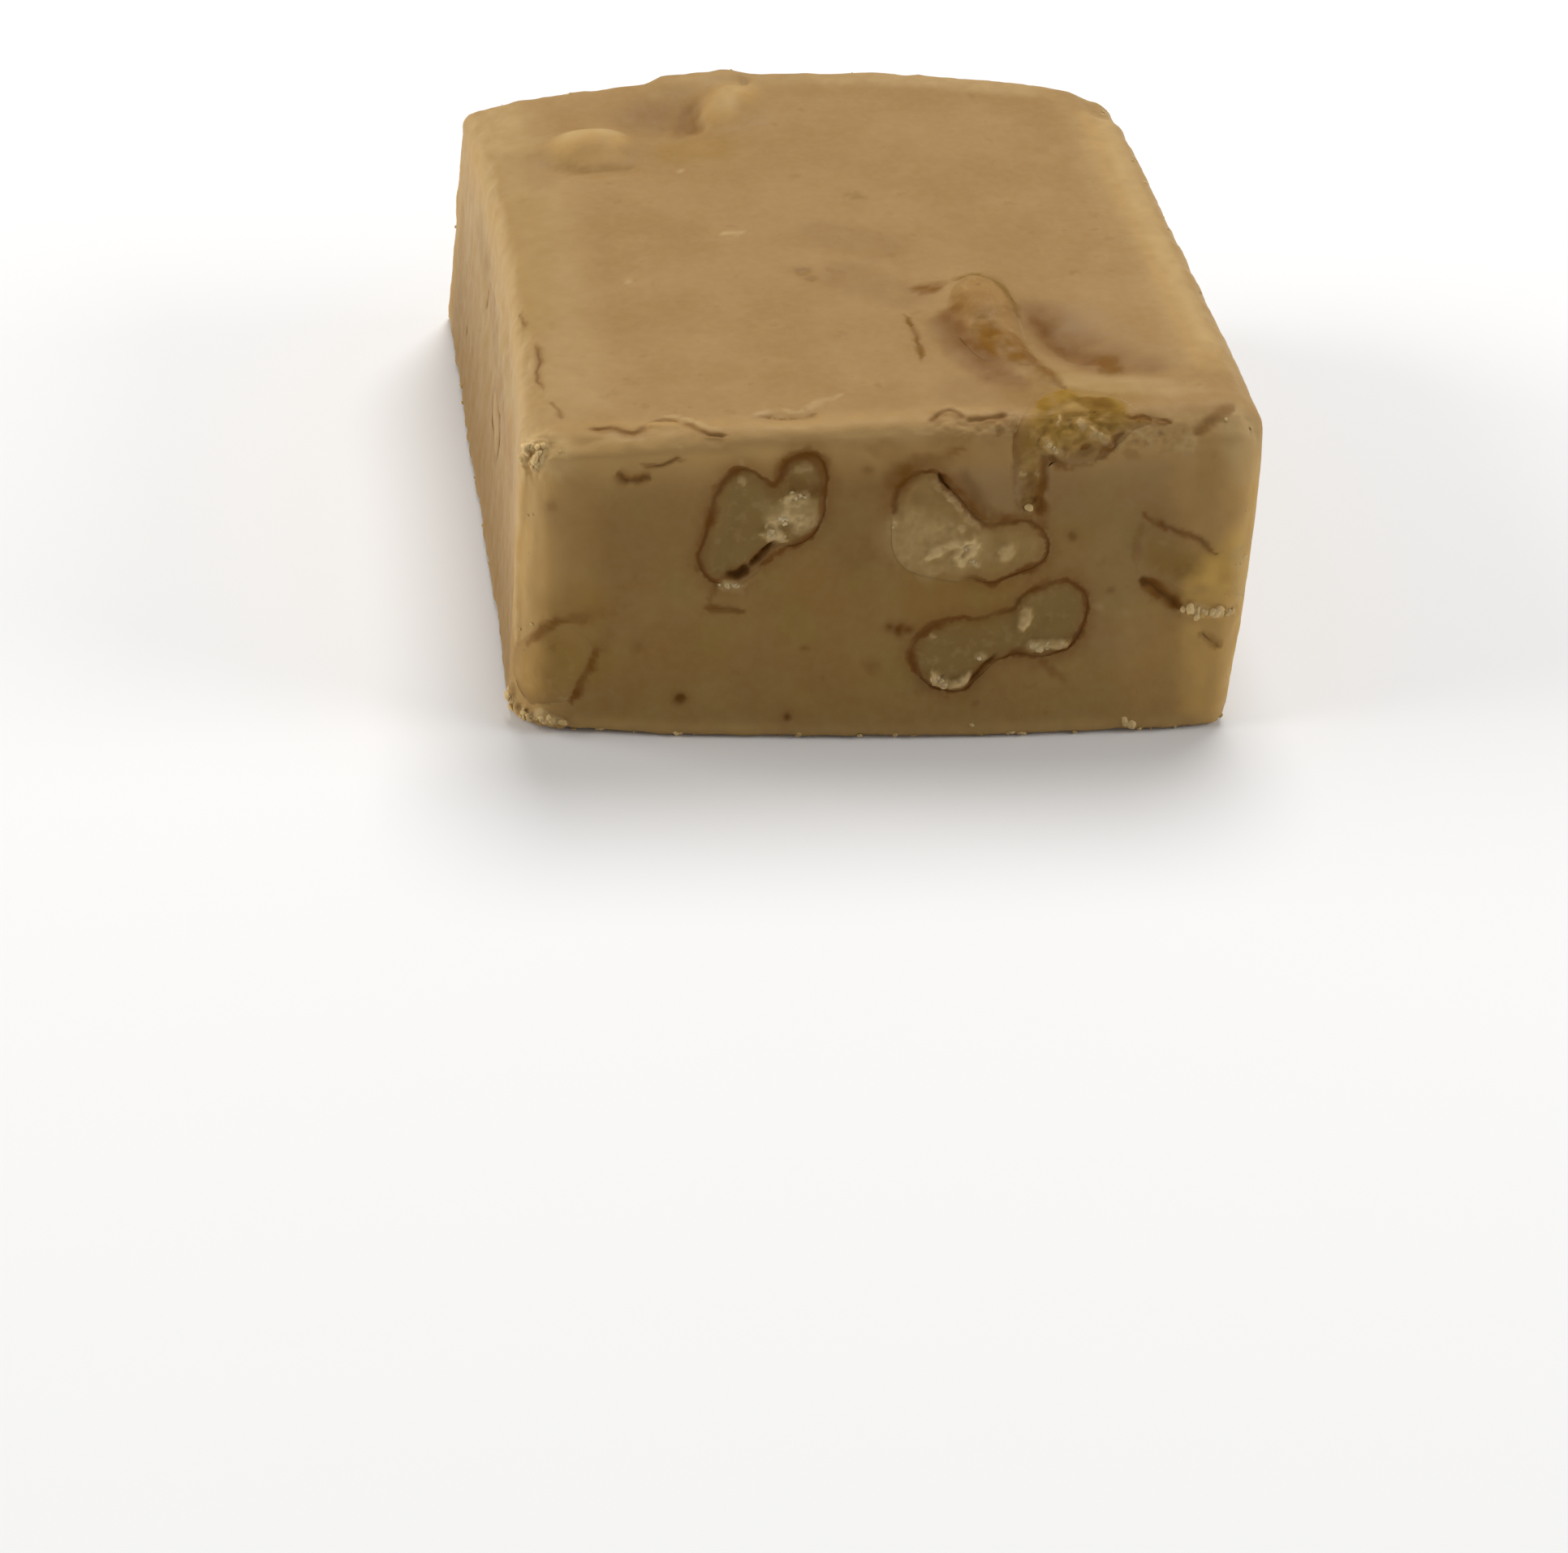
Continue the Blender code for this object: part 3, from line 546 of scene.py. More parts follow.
        (0.9, 0.75, ((0.9, 17.6), (1.7, 18.4))),
        (0.24, 0.8, ((3.5, 17.8), (4.3, 16.9), (5.1, 16.2), (5.8, 15.3), (6.5, 14.6))),
        (0.55, 0.4, ((4.2, 17.6), (5.3, 16.4), (6.2, 15.3))),
        (0.3, 0.6, ((6.5, 14.7), (7.4, 14.75), (8.5, 14.9), (9.2, 14.9))),
        (0.3, 0.5, ((9.6, 15.0), (10.2, 14.2))),
        (0.3, 0.8, ((-10.3, 9.0), (-9.1, 8.9), (-8.1, 8.75))),
        (0.2, 0.5, ((-10.0, 10.3), (-10.2, 9.4))),
        (0.5, 0.45, ((-5.9, 17.4), (-4.9, 16.9), (-3.9, 16.9))),
        (0.5, 0.35, ((-7.0, 17.0), (-6.2, 16.7))),
        (0.36, 0.6, ((-6.3, 13.2), (-7.3, 12.3), (-8.6, 11.2), (-9.3, 11.2))),
        (0.25, 0.45, ((10.7, 5.1), (11.3, 4.6), (12.1, 4.0), (12.4, 3.5))),
        (0.25, 0.5, ((20.6, 6.9), (21.3, 6.3), (22.0, 5.7))),
        (0.22, 0.75, (
            (16.4, 14.8), (16.9, 14.5), (17.7, 14.0), (18.7, 13.6), (19.8, 13.2), (20.6, 12.5),
            (21.1, 12.1),
        )),
        (0.26, 0.3, ((16.3, 14.2), (16.0, 13.0), (16.1, 11.8))),
        (0.36, 1.0, ((16.6, 10.4), (17.1, 10.2), (17.8, 9.6), (18.7, 9.0), (19.2, 8.6))),
        (0.3, 0.75, (
            (-21.2, 5.8), (-20.8, 6.6), (-20.3, 7.4), (-19.5, 8.0), (-18.5, 8.2), (-17.7, 8.3),
            (-17.0, 8.2),
        )),
        (0.5, 0.25, ((-19.5, 8.3), (-16.6, 8.6))),
        (0.24, 0.85, ((-16.9, 6.1), (-17.2, 5.2), (-17.6, 4.3), (-18.1, 3.1), (-18.5, 2.3))),
        (0.5, 0.25, ((-16.5, 7.4), (-16.3, 6.2))),
        (0.5, 0.4, ((-0.2, 5.2), (0.4, 5.0))),
        (0.2, 0.8, ((-16.0, 18.2), (-15.7, 17.9), (-15.3, 17.7), (-14.8, 17.9), (-14.1, 17.9))),
        (0.13, 0.45, ((-14.2, 18.8), (-13.2, 18.8), (-12.3, 19.0), (-11.9, 19.2))),
        (0.7, 0.3, ((9.4, 17.8), (9.2, 16.2))),
        (0.32, 0.8, ((9.8, 18.7), (9.85, 17.6), (9.8, 16.2))),
        (0.4, 0.9, ((9.6, 16.2), (9.9, 15.6), (9.7, 15.0))),
        (0.3, 0.35, ((8.3, 16.0), (8.8, 15.2), (10.4, 14.8))),
    ),
    ("brown", "top"): (
        (0.7, 0.55, ((15.0, -15.2), (14.8, -16.6))),
        (0.5, 0.75, ((4.3, -6.1), (5.2, -6.0), (6.1, -5.6))),
        (0.22, 0.45, ((8.1, -6.8), (8.2, -7.1))),
        # Painted shade along the left side of the top walnut.
        (0.7, 0.6, ((6.0, -9.6), (6.0, -11.8), (6.5, -13.6), (7.3, -15.3), (8.1, -16.7))),
        (0.3, 0.5, ((9.7, -14.7), (10.6, -16.8), (11.2, -18.0))),
        (0.25, 0.7, ((11.0, -17.8), (11.6, -19.1))),
        # Painted shade in the hollow right of the top walnut.
        (0.8, 0.55, ((11.6, -10.8), (12.1, -11.6), (13.0, -13.2), (14.4, -15.2))),
        (0.5, 0.35, ((-7.4, 19.0), (-7.3, 17.9), (-7.1, 17.0))),
    ),
    ("brown", "left"): (
        (0.6, 0.2, ((2.0, 9.2), (-1.0, 8.6))),
    ),
    # Dark creases and holes: painted shade in them.
    ("dark", "front"): (
        (0.13, 0.8, ((-6.5, 13.5), (-6.8, 13.1), (-7.3, 12.4), (-8.0, 11.7))),
        (0.24, 1.0, ((-8.0, 11.65), (-8.7, 11.15))),
        (0.14, 0.8, ((-8.7, 11.2), (-9.3, 11.3))),
        (0.16, 0.6, ((-9.9, 10.6), (-9.9, 10.3))),
        (0.17, 0.7, ((3.5, 17.8), (3.6, 17.2))),
        (0.15, 0.6, ((6.2, 4.0), (6.7, 4.6), (7.2, 5.2), (7.7, 5.6))),
        (0.15, 0.7, ((4.4, 4.45), (4.7, 4.4))),
        (0.16, 0.5, ((8.9, 9.1), (9.1, 9.4))),
        (0.16, 0.45, ((12.7, 6.6), (13.0, 7.1))),
        (0.22, 0.7, ((16.5, 10.5), (16.9, 10.3))),
        (0.15, 0.5, ((17.7, 9.8), (18.7, 9.0))),
        (0.16, 0.75, ((9.2, 16.1), (9.5, 15.9))),
    ),
    ("dark", "edge"): (
        (0.12, 0.4, ((10.0, -3.2), (10.5, -3.45))),
    ),
}

# Raised and sunk places: on each face, half width, height, points.
RELIEF = {
    "front": (
        (0.6, -0.14, ((-8.9, 16.6), (-9.4, 13.6), (-9.6, 12.0))),
        (0.65, 0.14, ((-6.0, 15.2), (-4.6, 15.6))),
        (0.4, 0.18, ((-6.9, 13.9), (-5.8, 13.8))),
        (0.55, -0.2, ((-5.4, 17.2), (-4.2, 17.0))),
        (0.35, 0.1, ((-4.4, 18.6), (-5.2, 18.2))),
        (0.28, 0.18, CENTRE_FLAKE),
        (0.28, 0.16, CENTRE_FLAKE_END),
        (0.26, 0.14, CENTRE_RIDGE),
        (0.5, -0.14, ((2.2, 16.4), (3.4, 15.4), (4.4, 14.6))),
        (0.4, -0.12, ((3.0, 13.4), (4.0, 13.9))),
        (0.4, 0.14, CENTRE_CHIP),
        (0.28, 0.26, LOWER_LEFT_FLAKE),
        (0.32, 0.28, LOWER_RIGHT_FLAKE),
        (0.28, 0.18, LOWER_CHIP),
        (0.9, -0.1, ((4.4, 6.4), (6.4, 6.4))),
        (0.9, -0.1, ((10.8, 8.6), (11.6, 8.8))),
        (0.4, -0.22, ((4.9, 17.9), (5.8, 16.4), (6.6, 15.4))),
        (0.35, 0.28, ((19.6, 8.5), (20.4, 8.25), (21.6, 8.15))),
        (1.3, 0.12, ((20.4, 10.4), (22.4, 10.2))),
        (1.4, 0.12, ((-20.0, 5.0), (-20.0, 4.0))),
        (0.3, 0.26, FOOT_FLAKES),
        (0.3, 0.1, LEFT_RIDGE),
        (0.25, -0.08, ((9.7, 18.9), (9.75, 18.0), (9.7, 17.2))),
        (0.25, -0.12, ((9.2, 16.2), (9.6, 15.9), (9.8, 15.4))),
    ),
    "edge": (
        (0.25, -0.05, LEG_GROOVE),
        (0.22, 0.24, TOP_EDGE_CHIP),
        (0.24, 0.2, TOP_EDGE_LEFT_RIDGE),
        (0.34, 0.22, TOP_EDGE_CRUMB),
        (0.22, 0.2, TOP_EDGE_RIGHT_RIDGE),
        (0.34, -0.15, TOP_EDGE_DENT),
        (0.28, -0.06, ((13.3, -3.1), (13.9, -2.6), (14.4, -2.0))),
        (0.35, -0.12, ((11.0, -1.0), (12.8, -0.9))),
        (0.6, 0.22, ((10.2, 0.0), (11.4, 0.7))),
        (0.5, 0.12, ((13.0, 0.4), (14.2, 0.0))),
        (0.4, -0.05, RIGHT_GROOVE),
        (0.35, 0.16, ((-13.7, -0.95), (-12.7, -1.1))),
        (0.5, 0.08, ((-7.4, -0.1), (-5.0, 0.0), (-3.6, 0.8))),
        (0.7, -0.1, ((-7.0, -0.7), (-4.6, -0.7))),
        (0.45, 0.12, ((3.4, -0.3), (5.0, -0.5), (7.2, -0.4))),
        (1.2, -0.08, ((3.4, -1.7), (7.2, -1.7))),
        (0.34, 0.2, CORNER_FLAKES),
    ),
    "top": (
        (0.5, 0.14, ((8.2, -5.4), (9.4, -6.4), (9.7, -9.4))),
        (1.5, 0.3, ((7.9, -7.2), (8.1, -9.0))),
        (0.5, -0.1, ((7.6, -11.4), (8.2, -13.0))),
        (0.7, 0.22, ((8.9, -13.4), (9.9, -15.9), (10.8, -17.6))),
        (1.3, -0.12, ((5.4, -12.6), (6.1, -14.8), (7.4, -17.2))),
        (0.9, -0.2, ((12.2, -11.8), (13.6, -14.4))),
        (1.9, 0.2, ((-15.8, 15.0), (-13.8, 15.2))),
        (0.8, -0.16, ((-17.5, 12.8), (-16.4, 11.9), (-14.9, 11.4), (-12.6, 11.7))),
        (1.5, 0.25, ((-5.6, 18.4), (-4.6, 20.2))),
        (1.5, -0.08, ((-10.4, 18.6), (-8.6, 19.2))),
        (0.7, -0.18, ((-7.4, 19.2), (-7.3, 17.2))),
        (1.7, 0.42, ((-8.0, 23.4), (-5.4, 24.0))),
        (1.5, -0.4, ((21.8, 22.6), (22.0, 20.6))),
        (0.4, -0.3, ((-3.7, 24.6), (-3.5, 22.6))),
    ),
    "left": (
        (1.6, -0.22, ((8.0, 12.8), (2.0, 9.0))),
        (0.8, 0.18, ((-2.0, 14.6), (-12.0, 12.8))),
        (0.6, -0.12, ((-4.0, 15.8), (-14.0, 14.6))),
        (0.5, 0.14, ((6.0, 14.4), (-1.0, 16.2))),
    ),
}

# Cracks: on each face, half width, depth, points.
CRACKS = {
    "edge": (
        (0.16, 0.12, (
            (-17.8, -1.25), (-17.1, -1.2), (-16.5, -1.1), (-16.0, -1.2), (-15.5, -1.4), (-15.1, -1.5),
            (-14.6, -1.3), (-14.0, -0.9),
        )),
        (0.12, 0.1, ((-14.0, -0.9), (-13.5, -0.6), (-13.0, -0.5), (-12.6, -0.7), (-12.2, -0.8))),
        (0.13, 0.12, (
            (-12.2, -0.8), (-11.6, -1.0), (-11.2, -1.3), (-10.6, -1.7), (-10.0, -1.75), (-9.4, -1.85),
        )),
        (0.08, 0.1, ((-7.4, -0.4), (-6.2, -0.6), (-4.8, -0.55), (-3.7, -0.2))),
        (0.14, 0.11, ((2.7, -1.2), (3.3, -0.7), (4.1, -0.4), (4.5, -0.6), (4.9, -0.95))),
        (0.15, 0.11, ((4.9, -0.95), (5.4, -1.15), (6.2, -1.0), (6.9, -0.9), (7.7, -0.8))),
        (0.14, 0.08, TOP_EDGE_CRACK),
        (0.08, 0.1, LEFT_CRACK),
    ),
    "top": (
        (0.1, 0.06, ((-20.8, -6.2), (-20.6, -7.8), (-20.4, -8.4))),
        (0.11, 0.09, (
            (-20.1, -10.6), (-20.0, -12.1), (-19.9, -13.2), (-20.2, -14.3), (-20.2, -15.5), (-20.0, -17.0),
        )),
        (0.08, 0.05, ((-19.7, -18.2), (-19.3, -19.4), (-19.2, -20.7))),
        (0.09, 0.05, ((3.2, -9.2), (3.4, -10.4), (3.5, -11.5), (3.5, -13.0), (3.4, -14.3), (3.3, -15.4))),
    ),
    "front": (
        (0.13, 0.28, ((-6.45, 13.6), (-6.8, 13.15), (-7.3, 12.45), (-8.0, 11.75))),
        (0.22, 0.3, ((-7.9, 11.8), (-8.6, 11.25), (-9.3, 11.25))),
        (0.24, 0.24, ((16.5, 10.5), (17.3, 10.1), (18.0, 9.5), (18.7, 9.0), (19.3, 8.6))),
        (0.2, 0.16, ((-16.2, 18.3), (-15.7, 17.9), (-15.2, 17.65))),
        (0.16, 0.14, ((-15.3, 17.9), (-14.8, 17.7), (-14.4, 17.95), (-13.9, 17.85))),
        (0.1, 0.2, ((6.1, 3.8), (6.7, 4.6), (7.2, 5.2), (7.8, 5.7))),
        (0.1, 0.2, ((3.4, 17.9), (3.6, 17.2), (4.2, 16.7))),
        (0.09, 0.08, ((-10.3, 9.0), (-9.1, 8.95), (-8.1, 8.8))),
        (0.09, 0.1, ((20.6, 6.9), (21.3, 6.3), (22.0, 5.7))),
        (0.1, 0.08, ((16.5, 14.8), (17.7, 14.0), (19.8, 13.2), (21.1, 12.1))),
    ),
    "right": (
        (0.14, 0.2, ((-21.6, 8.4), (-20.0, 8.0), (-18.6, 8.6))),
        (0.13, 0.18, ((-16.0, 18.0), (-13.8, 17.6), (-12.4, 18.2), (-10.2, 18.0))),
    ),
    "back": (
        (0.14, 0.2, ((-4.0, 18.0), (-2.2, 17.4), (-0.4, 17.9), (1.6, 17.5))),
    ),
}

# Crumbly stretches: on each face, reach, depth, points.
CRUMBLY = {
    "edge": (
        (1.0, 0.15, ((9.8, -2.2), (11.6, -2.2), (13.6, -2.0))),
        (0.9, 0.09, ((14.6, -2.0), (16.4, -2.3), (18.4, -2.5))),
        (0.5, 0.08, ((3.6, -1.5), (7.4, -1.5))),
        (0.5, 0.16, ((8.8, -2.4), (8.8, -5.8))),
        (0.5, 0.14, ((-21.4, -2.2), (-20.4, -2.6), (-21.0, -3.4))),
    ),
    "front": (
        (0.45, 0.16, ((-21.9, 1.2), (-20.6, 0.7), (-18.8, 0.6))),
        (0.4, 0.14, ((19.6, 8.3), (22.8, 8.1))),
    ),
}

# Where the brown skin line is missing: on each face, half width, points.
GAPS = {
    "front": (
        (1.1, ((1.0, 13.2), (1.4, 12.0), (2.8, 11.2), (4.4, 10.9))),
        (0.5, ((0.8, 14.6), (0.9, 13.8))),
        (0.6, ((-9.0, 10.6), (-7.6, 11.3))),
    ),
}

# Small dents with a brown middle of painted shade: on each face, place, radius, depth, darkness.
PITS = {
    "front": (
        ((-11.8, 2.7), 0.4, 0.16, 1.0),
        ((-5.1, 1.5), 0.32, 0.14, 0.85),
        ((-4.2, 6.2), 0.24, 0.06, 0.5),
        ((1.0, 7.6), 0.34, 0.08, 0.9),
        ((1.55, 7.45), 0.42, 0.1, 1.0),
        ((2.1, 7.5), 0.3, 0.06, 0.8),
        ((11.9, 13.5), 0.3, 0.08, 0.55),
        ((-1.0, 18.2), 0.36, 0.06, 0.4),
        ((-19.8, 16.0), 0.35, 0.05, 0.35),
        ((-14.5, 6.3), 0.45, 0.03, 0.3),
        ((6.6, 2.4), 0.28, 0.06, 0.35),
        ((14.6, 9.9), 0.3, 0.06, 0.4),
    ),
    "top": (
        ((-2.5, -3.2), 0.5, 0.15, 0.35),
        ((-2.1, -4.1), 0.4, 0.12, 0.4),
        ((14.0, -15.2), 0.6, 0.1, 0.25),
    ),
    "left": (
        ((7.8, 11.9), 0.3, 0.25, 0.9),
        ((7.7, 11.3), 0.28, 0.25, 0.85),
        ((-8.6, 8.4), 0.34, 0.1, 0.4),
        ((14.0, 5.4), 0.34, 0.14, 0.6),
    ),
    "back": (
        ((8.6, 4.2), 0.4, 0.16, 0.85),
        ((-15.6, 12.4), 0.34, 0.14, 0.8),
        ((14.0, 16.0), 0.3, 0.1, 0.6),
    ),
    "right": (
        ((-14.0, 5.4), 0.4, 0.16, 0.8),
        ((6.0, 14.6), 0.32, 0.12, 0.7),
        ((18.0, 11.0), 0.3, 0.1, 0.6),
    ),
}

# Crumbs: kind, face, scatter, how many, radius, start and end.
CRUMB_ROWS = (
    ("white", "front", 0.1, 5, 0.26, ((3.9, 4.4), (4.6, 3.8))),
    ("white", "front", 0.09, 9, 0.28, ((9.9, 6.2), (12.2, 6.3))),
    ("white", "front", 0.06, 2, 0.24, ((6.5, 5.4), (6.9, 5.6))),
    ("white", "front", 0.16, 8, 0.22, ((-6.9, 14.0), (-5.8, 13.7))),
    ("white", "front", 0.18, 6, 0.2, ((-6.0, 16.2), (-4.4, 16.4))),
    ("white", "front", 0.26, 6, 0.2, ((-6.6, 15.0), (-5.4, 14.8))),
    ("white", "front", 0.08, 7, 0.16, ((-9.6, 10.4), (-8.3, 10.5))),
    ("bright", "front", 0.04, 3, 0.26, ((9.0, 15.5), (9.1, 15.4))),
    ("white", "front", 0.12, 3, 0.2, ((5.0, 13.2), (5.8, 12.6))),
    ("white", "front", 0.08, 3, 0.17, ((5.8, 12.0), (6.3, 11.6))),
    ("white", "front", 0.1, 2, 0.16, ((0.8, 14.6), (0.9, 14.4))),
    ("bright", "front", 0.12, 7, 0.3, ((19.6, 8.5), (20.3, 8.3))),
    ("bright", "front", 0.12, 10, 0.26, ((20.5, 8.4), (21.8, 8.2))),
    ("bright", "front", 0.08, 5, 0.18, ((21.8, 8.2), (22.9, 8.0))),
    ("bright", "front", 0.06, 4, 0.28, ((23.0, 11.5), (23.3, 11.4))),
    ("pale", "edge", 0.14, 3, 0.14, ((11.8, -1.4), (13.6, -2.5))),
    ("pale", "edge", 0.14, 3, 0.14, ((9.7, -2.5), (10.9, -3.1))),
    ("bright", "edge", 0.08, 8, 0.26, ((-21.4, -2.9), (-21.3, -2.2))),
    ("bright", "edge", 0.08, 8, 0.24, ((-21.3, -2.2), (-20.5, -2.2))),
    ("bright", "edge", 0.08, 8, 0.26, ((-20.6, -2.7), (-20.9, -3.2))),
    ("bright", "front", 0.08, 12, 0.26, ((-22.0, 1.9), (-21.7, 0.8))),
    ("bright", "front", 0.08, 14, 0.26, ((-21.6, 0.75), (-20.3, 1.1))),
    ("bright", "front", 0.08, 10, 0.22, ((-20.2, 1.1), (-19.0, 0.8))),
    ("bright", "front", 0.08, 3, 0.22, ((-16.8, 0.25), (-16.5, 0.2))),
    ("bright", "front", 0.08, 3, 0.2, ((-12.1, 0.3), (-11.5, 0.3))),
    ("bright", "front", 0.05, 3, 0.26, ((-5.6, 0.1), (-5.4, 0.1))),
    ("bright", "front", 0.08, 4, 0.26, ((3.4, 0.1), (4.0, 0.1))),
    ("bright", "front", 0.08, 6, 0.24, ((8.8, 0.15), (10.2, 0.3))),
    ("bright", "front", 0.1, 5, 0.26, ((16.4, 0.9), (17.0, 0.2))),
    ("pale", "top", 0.14, 14, 0.14, ((21.9, 22.6), (22.5, 7.4))),
    ("pale", "top", 0.05, 3, 0.2, ((-7.8, 24.4), (-7.6, 24.4))),
    ("pale", "top", 0.05, 3, 0.18, ((-3.0, 24.6), (-2.8, 24.6))),
    ("pale", "top", 0.05, 2, 0.18, ((-15.8, 23.0), (-15.6, 23.0))),
    ("pale", "top", 0.05, 2, 0.18, ((11.8, 24.4), (12.0, 24.4))),
)
CRUMB_FLATNESS = 0.4
CRUMB_SEED = 11
# Scattered crumbs: how many, scatter, smallest and largest radius, least and most rise in radii.
EDGE_CRUMBS = (40, 0.4, 0.05, 0.12, -0.3, 0.2)
FOOT_CRUMBS = (170, 0.3, 0.08, 0.2, -0.3, 0.3)
FOOT_LEVEL = 0.6
EDGE_LEVEL = 3.0
# Crumb pieces: kind, name, slot, colour, other colour.
CRUMB_PIECES = (
    ("white", "walnut_crumbs", "walnut", (0.64, 0.48, 0.26), (0.50, 0.36, 0.17)),
    ("bright", "light_crumbs", "fudge", (0.67, 0.46, 0.21), (0.55, 0.37, 0.15)),
    ("pale", "fudge_crumbs", "fudge", (0.53, 0.37, 0.17), (0.44, 0.29, 0.12)),
)

# Unevenness of the surface in mm: height, size of its lumps, layers, seed.
BROAD_WAVES = (0.10, 7.0, 2, 3)
SMALL_WAVES = (0.03, 1.7, 2, 9)
FINE_GRAIN = (0.012, 0.5, 1, 21)
LEFT_STREAKS = (0.07, (2.0, 1.0, 5.0), 1, 25)
LEFT_THIN_STREAKS = (0.03, (1.0, 0.5, 2.2), 1, 27)
EDGE_CHIPS = (0.13, 1.0, 3, 31)
EDGE_BITES = (0.12, 2.6, 1, 33)
MEAT_WAVES = (0.07, 1.3, 2, 57)
MEAT_GRAIN = (0.08, 0.3, 1, 63)
# The same for crumbly stretches, where the height is a share of their depth.
CRUMBLE_GRAIN = (0.3, 0.3, 1, 75)
# How drawn lines wander: size of the waves in mm, how far, seed.
CRACK_WANDER = (0.9, 0.13, 40)
RELIEF_WANDER = (0.7, 0.12, 80)
STROKE_WANDER = (0.6, 0.16, 100)
RAGGED_WANDER = (0.35, 0.14, 130)
# What varies from place to place: middle, spread, size of the lumps in mm, seed.
CRACK_WIDTH = (1.0, 0.4, 0.8, 60)
STROKE_STRENGTH = (0.86, 0.3, 0.7, 160)
STROKE_WIDTH = (1.1, 0.55, 0.9, 165)
CRUMBLY_LIGHT = (0.12, 0.4, 0.6, 90)
EDGE_BAND_LIGHT = (0.75, 0.3, 2.2, 95)
# Streaks of broken meat and creases of whole meat: size in mm, layers, seed.
MEAT_STREAKS = (0.6, 2, 170)
MEAT_CREASES = (1.0, 2, 59)
MEAT_CREASE_HEIGHT = 0.12

# A crack's raised lips: height, and how far out in half widths.
LIP_HEIGHT = 0.04
LIP_PLACE = 2.2
# The painted shade of a crack, laid as brown: its least, its rise with depth, and its width in the crack's
# widths.
CRACK_SHADE = 0.38
CRACK_SHADE_BY_DEPTH = 2.3
CRACK_SHADE_WIDTH = 2.1
PIT_SHADE_WIDTH = 1.15
CRACK_DARKNESS = 0.35
# Strokes under these half widths are uneven in width, or ragged.
UNEVEN_BELOW = 0.7
RAGGED_BELOW = 0.3
# The groove along a walnut's skin, in the fudge and in the meat: depth and width.
SKIN_GROOVE = 0.05
SKIN_GROOVE_WIDTH = 0.22
MEAT_GROOVE = 0.08
MEAT_GROOVE_WIDTH = 0.2
# How far edges are chipped, and how much lighter their colour is made along them.
WORN_EDGE = 0.9
EDGE_LIGHTENING = 0.25
# The amber band of painted light on the sides along every edge above this height: where it starts to fade,
# and how fast.
UPPER_EDGE_LEVEL = 1.5
BAND_START = 0.8
BAND_WIDTH = 1.6


# Small tools for numbers and meshes.

# Factors and shifts that scramble whole numbers of 32 bits.
CELL_FACTORS = (73856093, 19349663, 83492791)
SCRAMBLES = ((15, 2246822519), (13, 3266489917))
SEED_FACTOR = 2654435761
ALL_BITS = 0xFFFFFFFF
LOW_BITS = 0xFFFFFF


def smooth_step(x):
    x = np.clip(x, 0.0, 1.0)
    return x * x * (3.0 - 2.0 * x)


def arch(x):
    return 4.0 * x * (1.0 - x)


def hashed(cells, seed):
    """A number from 0 to 1 for each whole-number cell, the same each time."""
    cells = cells.astype(np.int64).astype(np.uint64)
    mixed = np.uint64(seed * SEED_FACTOR & ALL_BITS)
    for axis, factor in enumerate(CELL_FACTORS):
        mixed = mixed ^ cells[..., axis] * np.uint64(factor)
    mixed = mixed & np.uint64(ALL_BITS)
    for shift, factor in SCRAMBLES:
        mixed = ((mixed ^ (mixed >> np.uint64(shift))) * np.uint64(factor)) & np.uint64(ALL_BITS)
    mixed = mixed ^ (mixed >> np.uint64(16))
    return (mixed & np.uint64(LOW_BITS)).astype(float) / LOW_BITS


def noise(points, size, seed):
    """A smooth random field from -1 to 1, with lumps of that size in mm."""
    scaled = points / np.asarray(size) + 500.0
    low = np.floor(scaled)
    part = scaled - low
    part = part**3 * (part * (part * 6.0 - 15.0) + 10.0)
    total = np.zeros(len(points))
    for dx, dy, dz in np.ndindex(2, 2, 2):
        share = np.abs(1 - dx - part[:, 0]) * np.abs(1 - dy - part[:, 1]) * np.abs(1 - dz - part[:, 2])
        total += share * hashed(low + np.array([dx, dy, dz]), seed)
    return 2.0 * total - 1.0


def layered(points, size, octaves, seed):
    """Noise with finer and weaker noise on top."""
    total, weight, share = 0.0, 0.0, 1.0
    for octave in range(octaves):
        total = total + share * noise(points, np.asarray(size) / 2**octave, seed + octave)
        weight += share
        share *= 0.5
    return total / weight


def grains(points, size, seed):
    """Distance in cells to the nearest of scattered points: 0 in a grain's middle, about 1 between grains."""
    scaled = points / size + 500.0
    low = np.floor(scaled)
    best = np.full(len(points), FAR)
    for step in np.ndindex(3, 3, 3):
        cell = low + np.array(step) - 1
        seat = cell + np.stack([hashed(cell, seed + k) for k in range(3)], axis=1)
        best = np.minimum(best, np.linalg.norm(scaled - seat, axis=1))
    return best


def waves(points, height, size, layers, seed):
    """Layered noise as a height in mm."""
    return height * layered(points, size, layers, seed)


def varied(points, middle, spread, size, seed):
    """A value that wanders by spread about its middle."""
    return middle + spread * noise(points, size, seed)


def wobbled(points, size, amount, seed):
    return points + amount * np.stack([layered(points, size, 2, seed + 10 * k) for k in range(3)], axis=1)


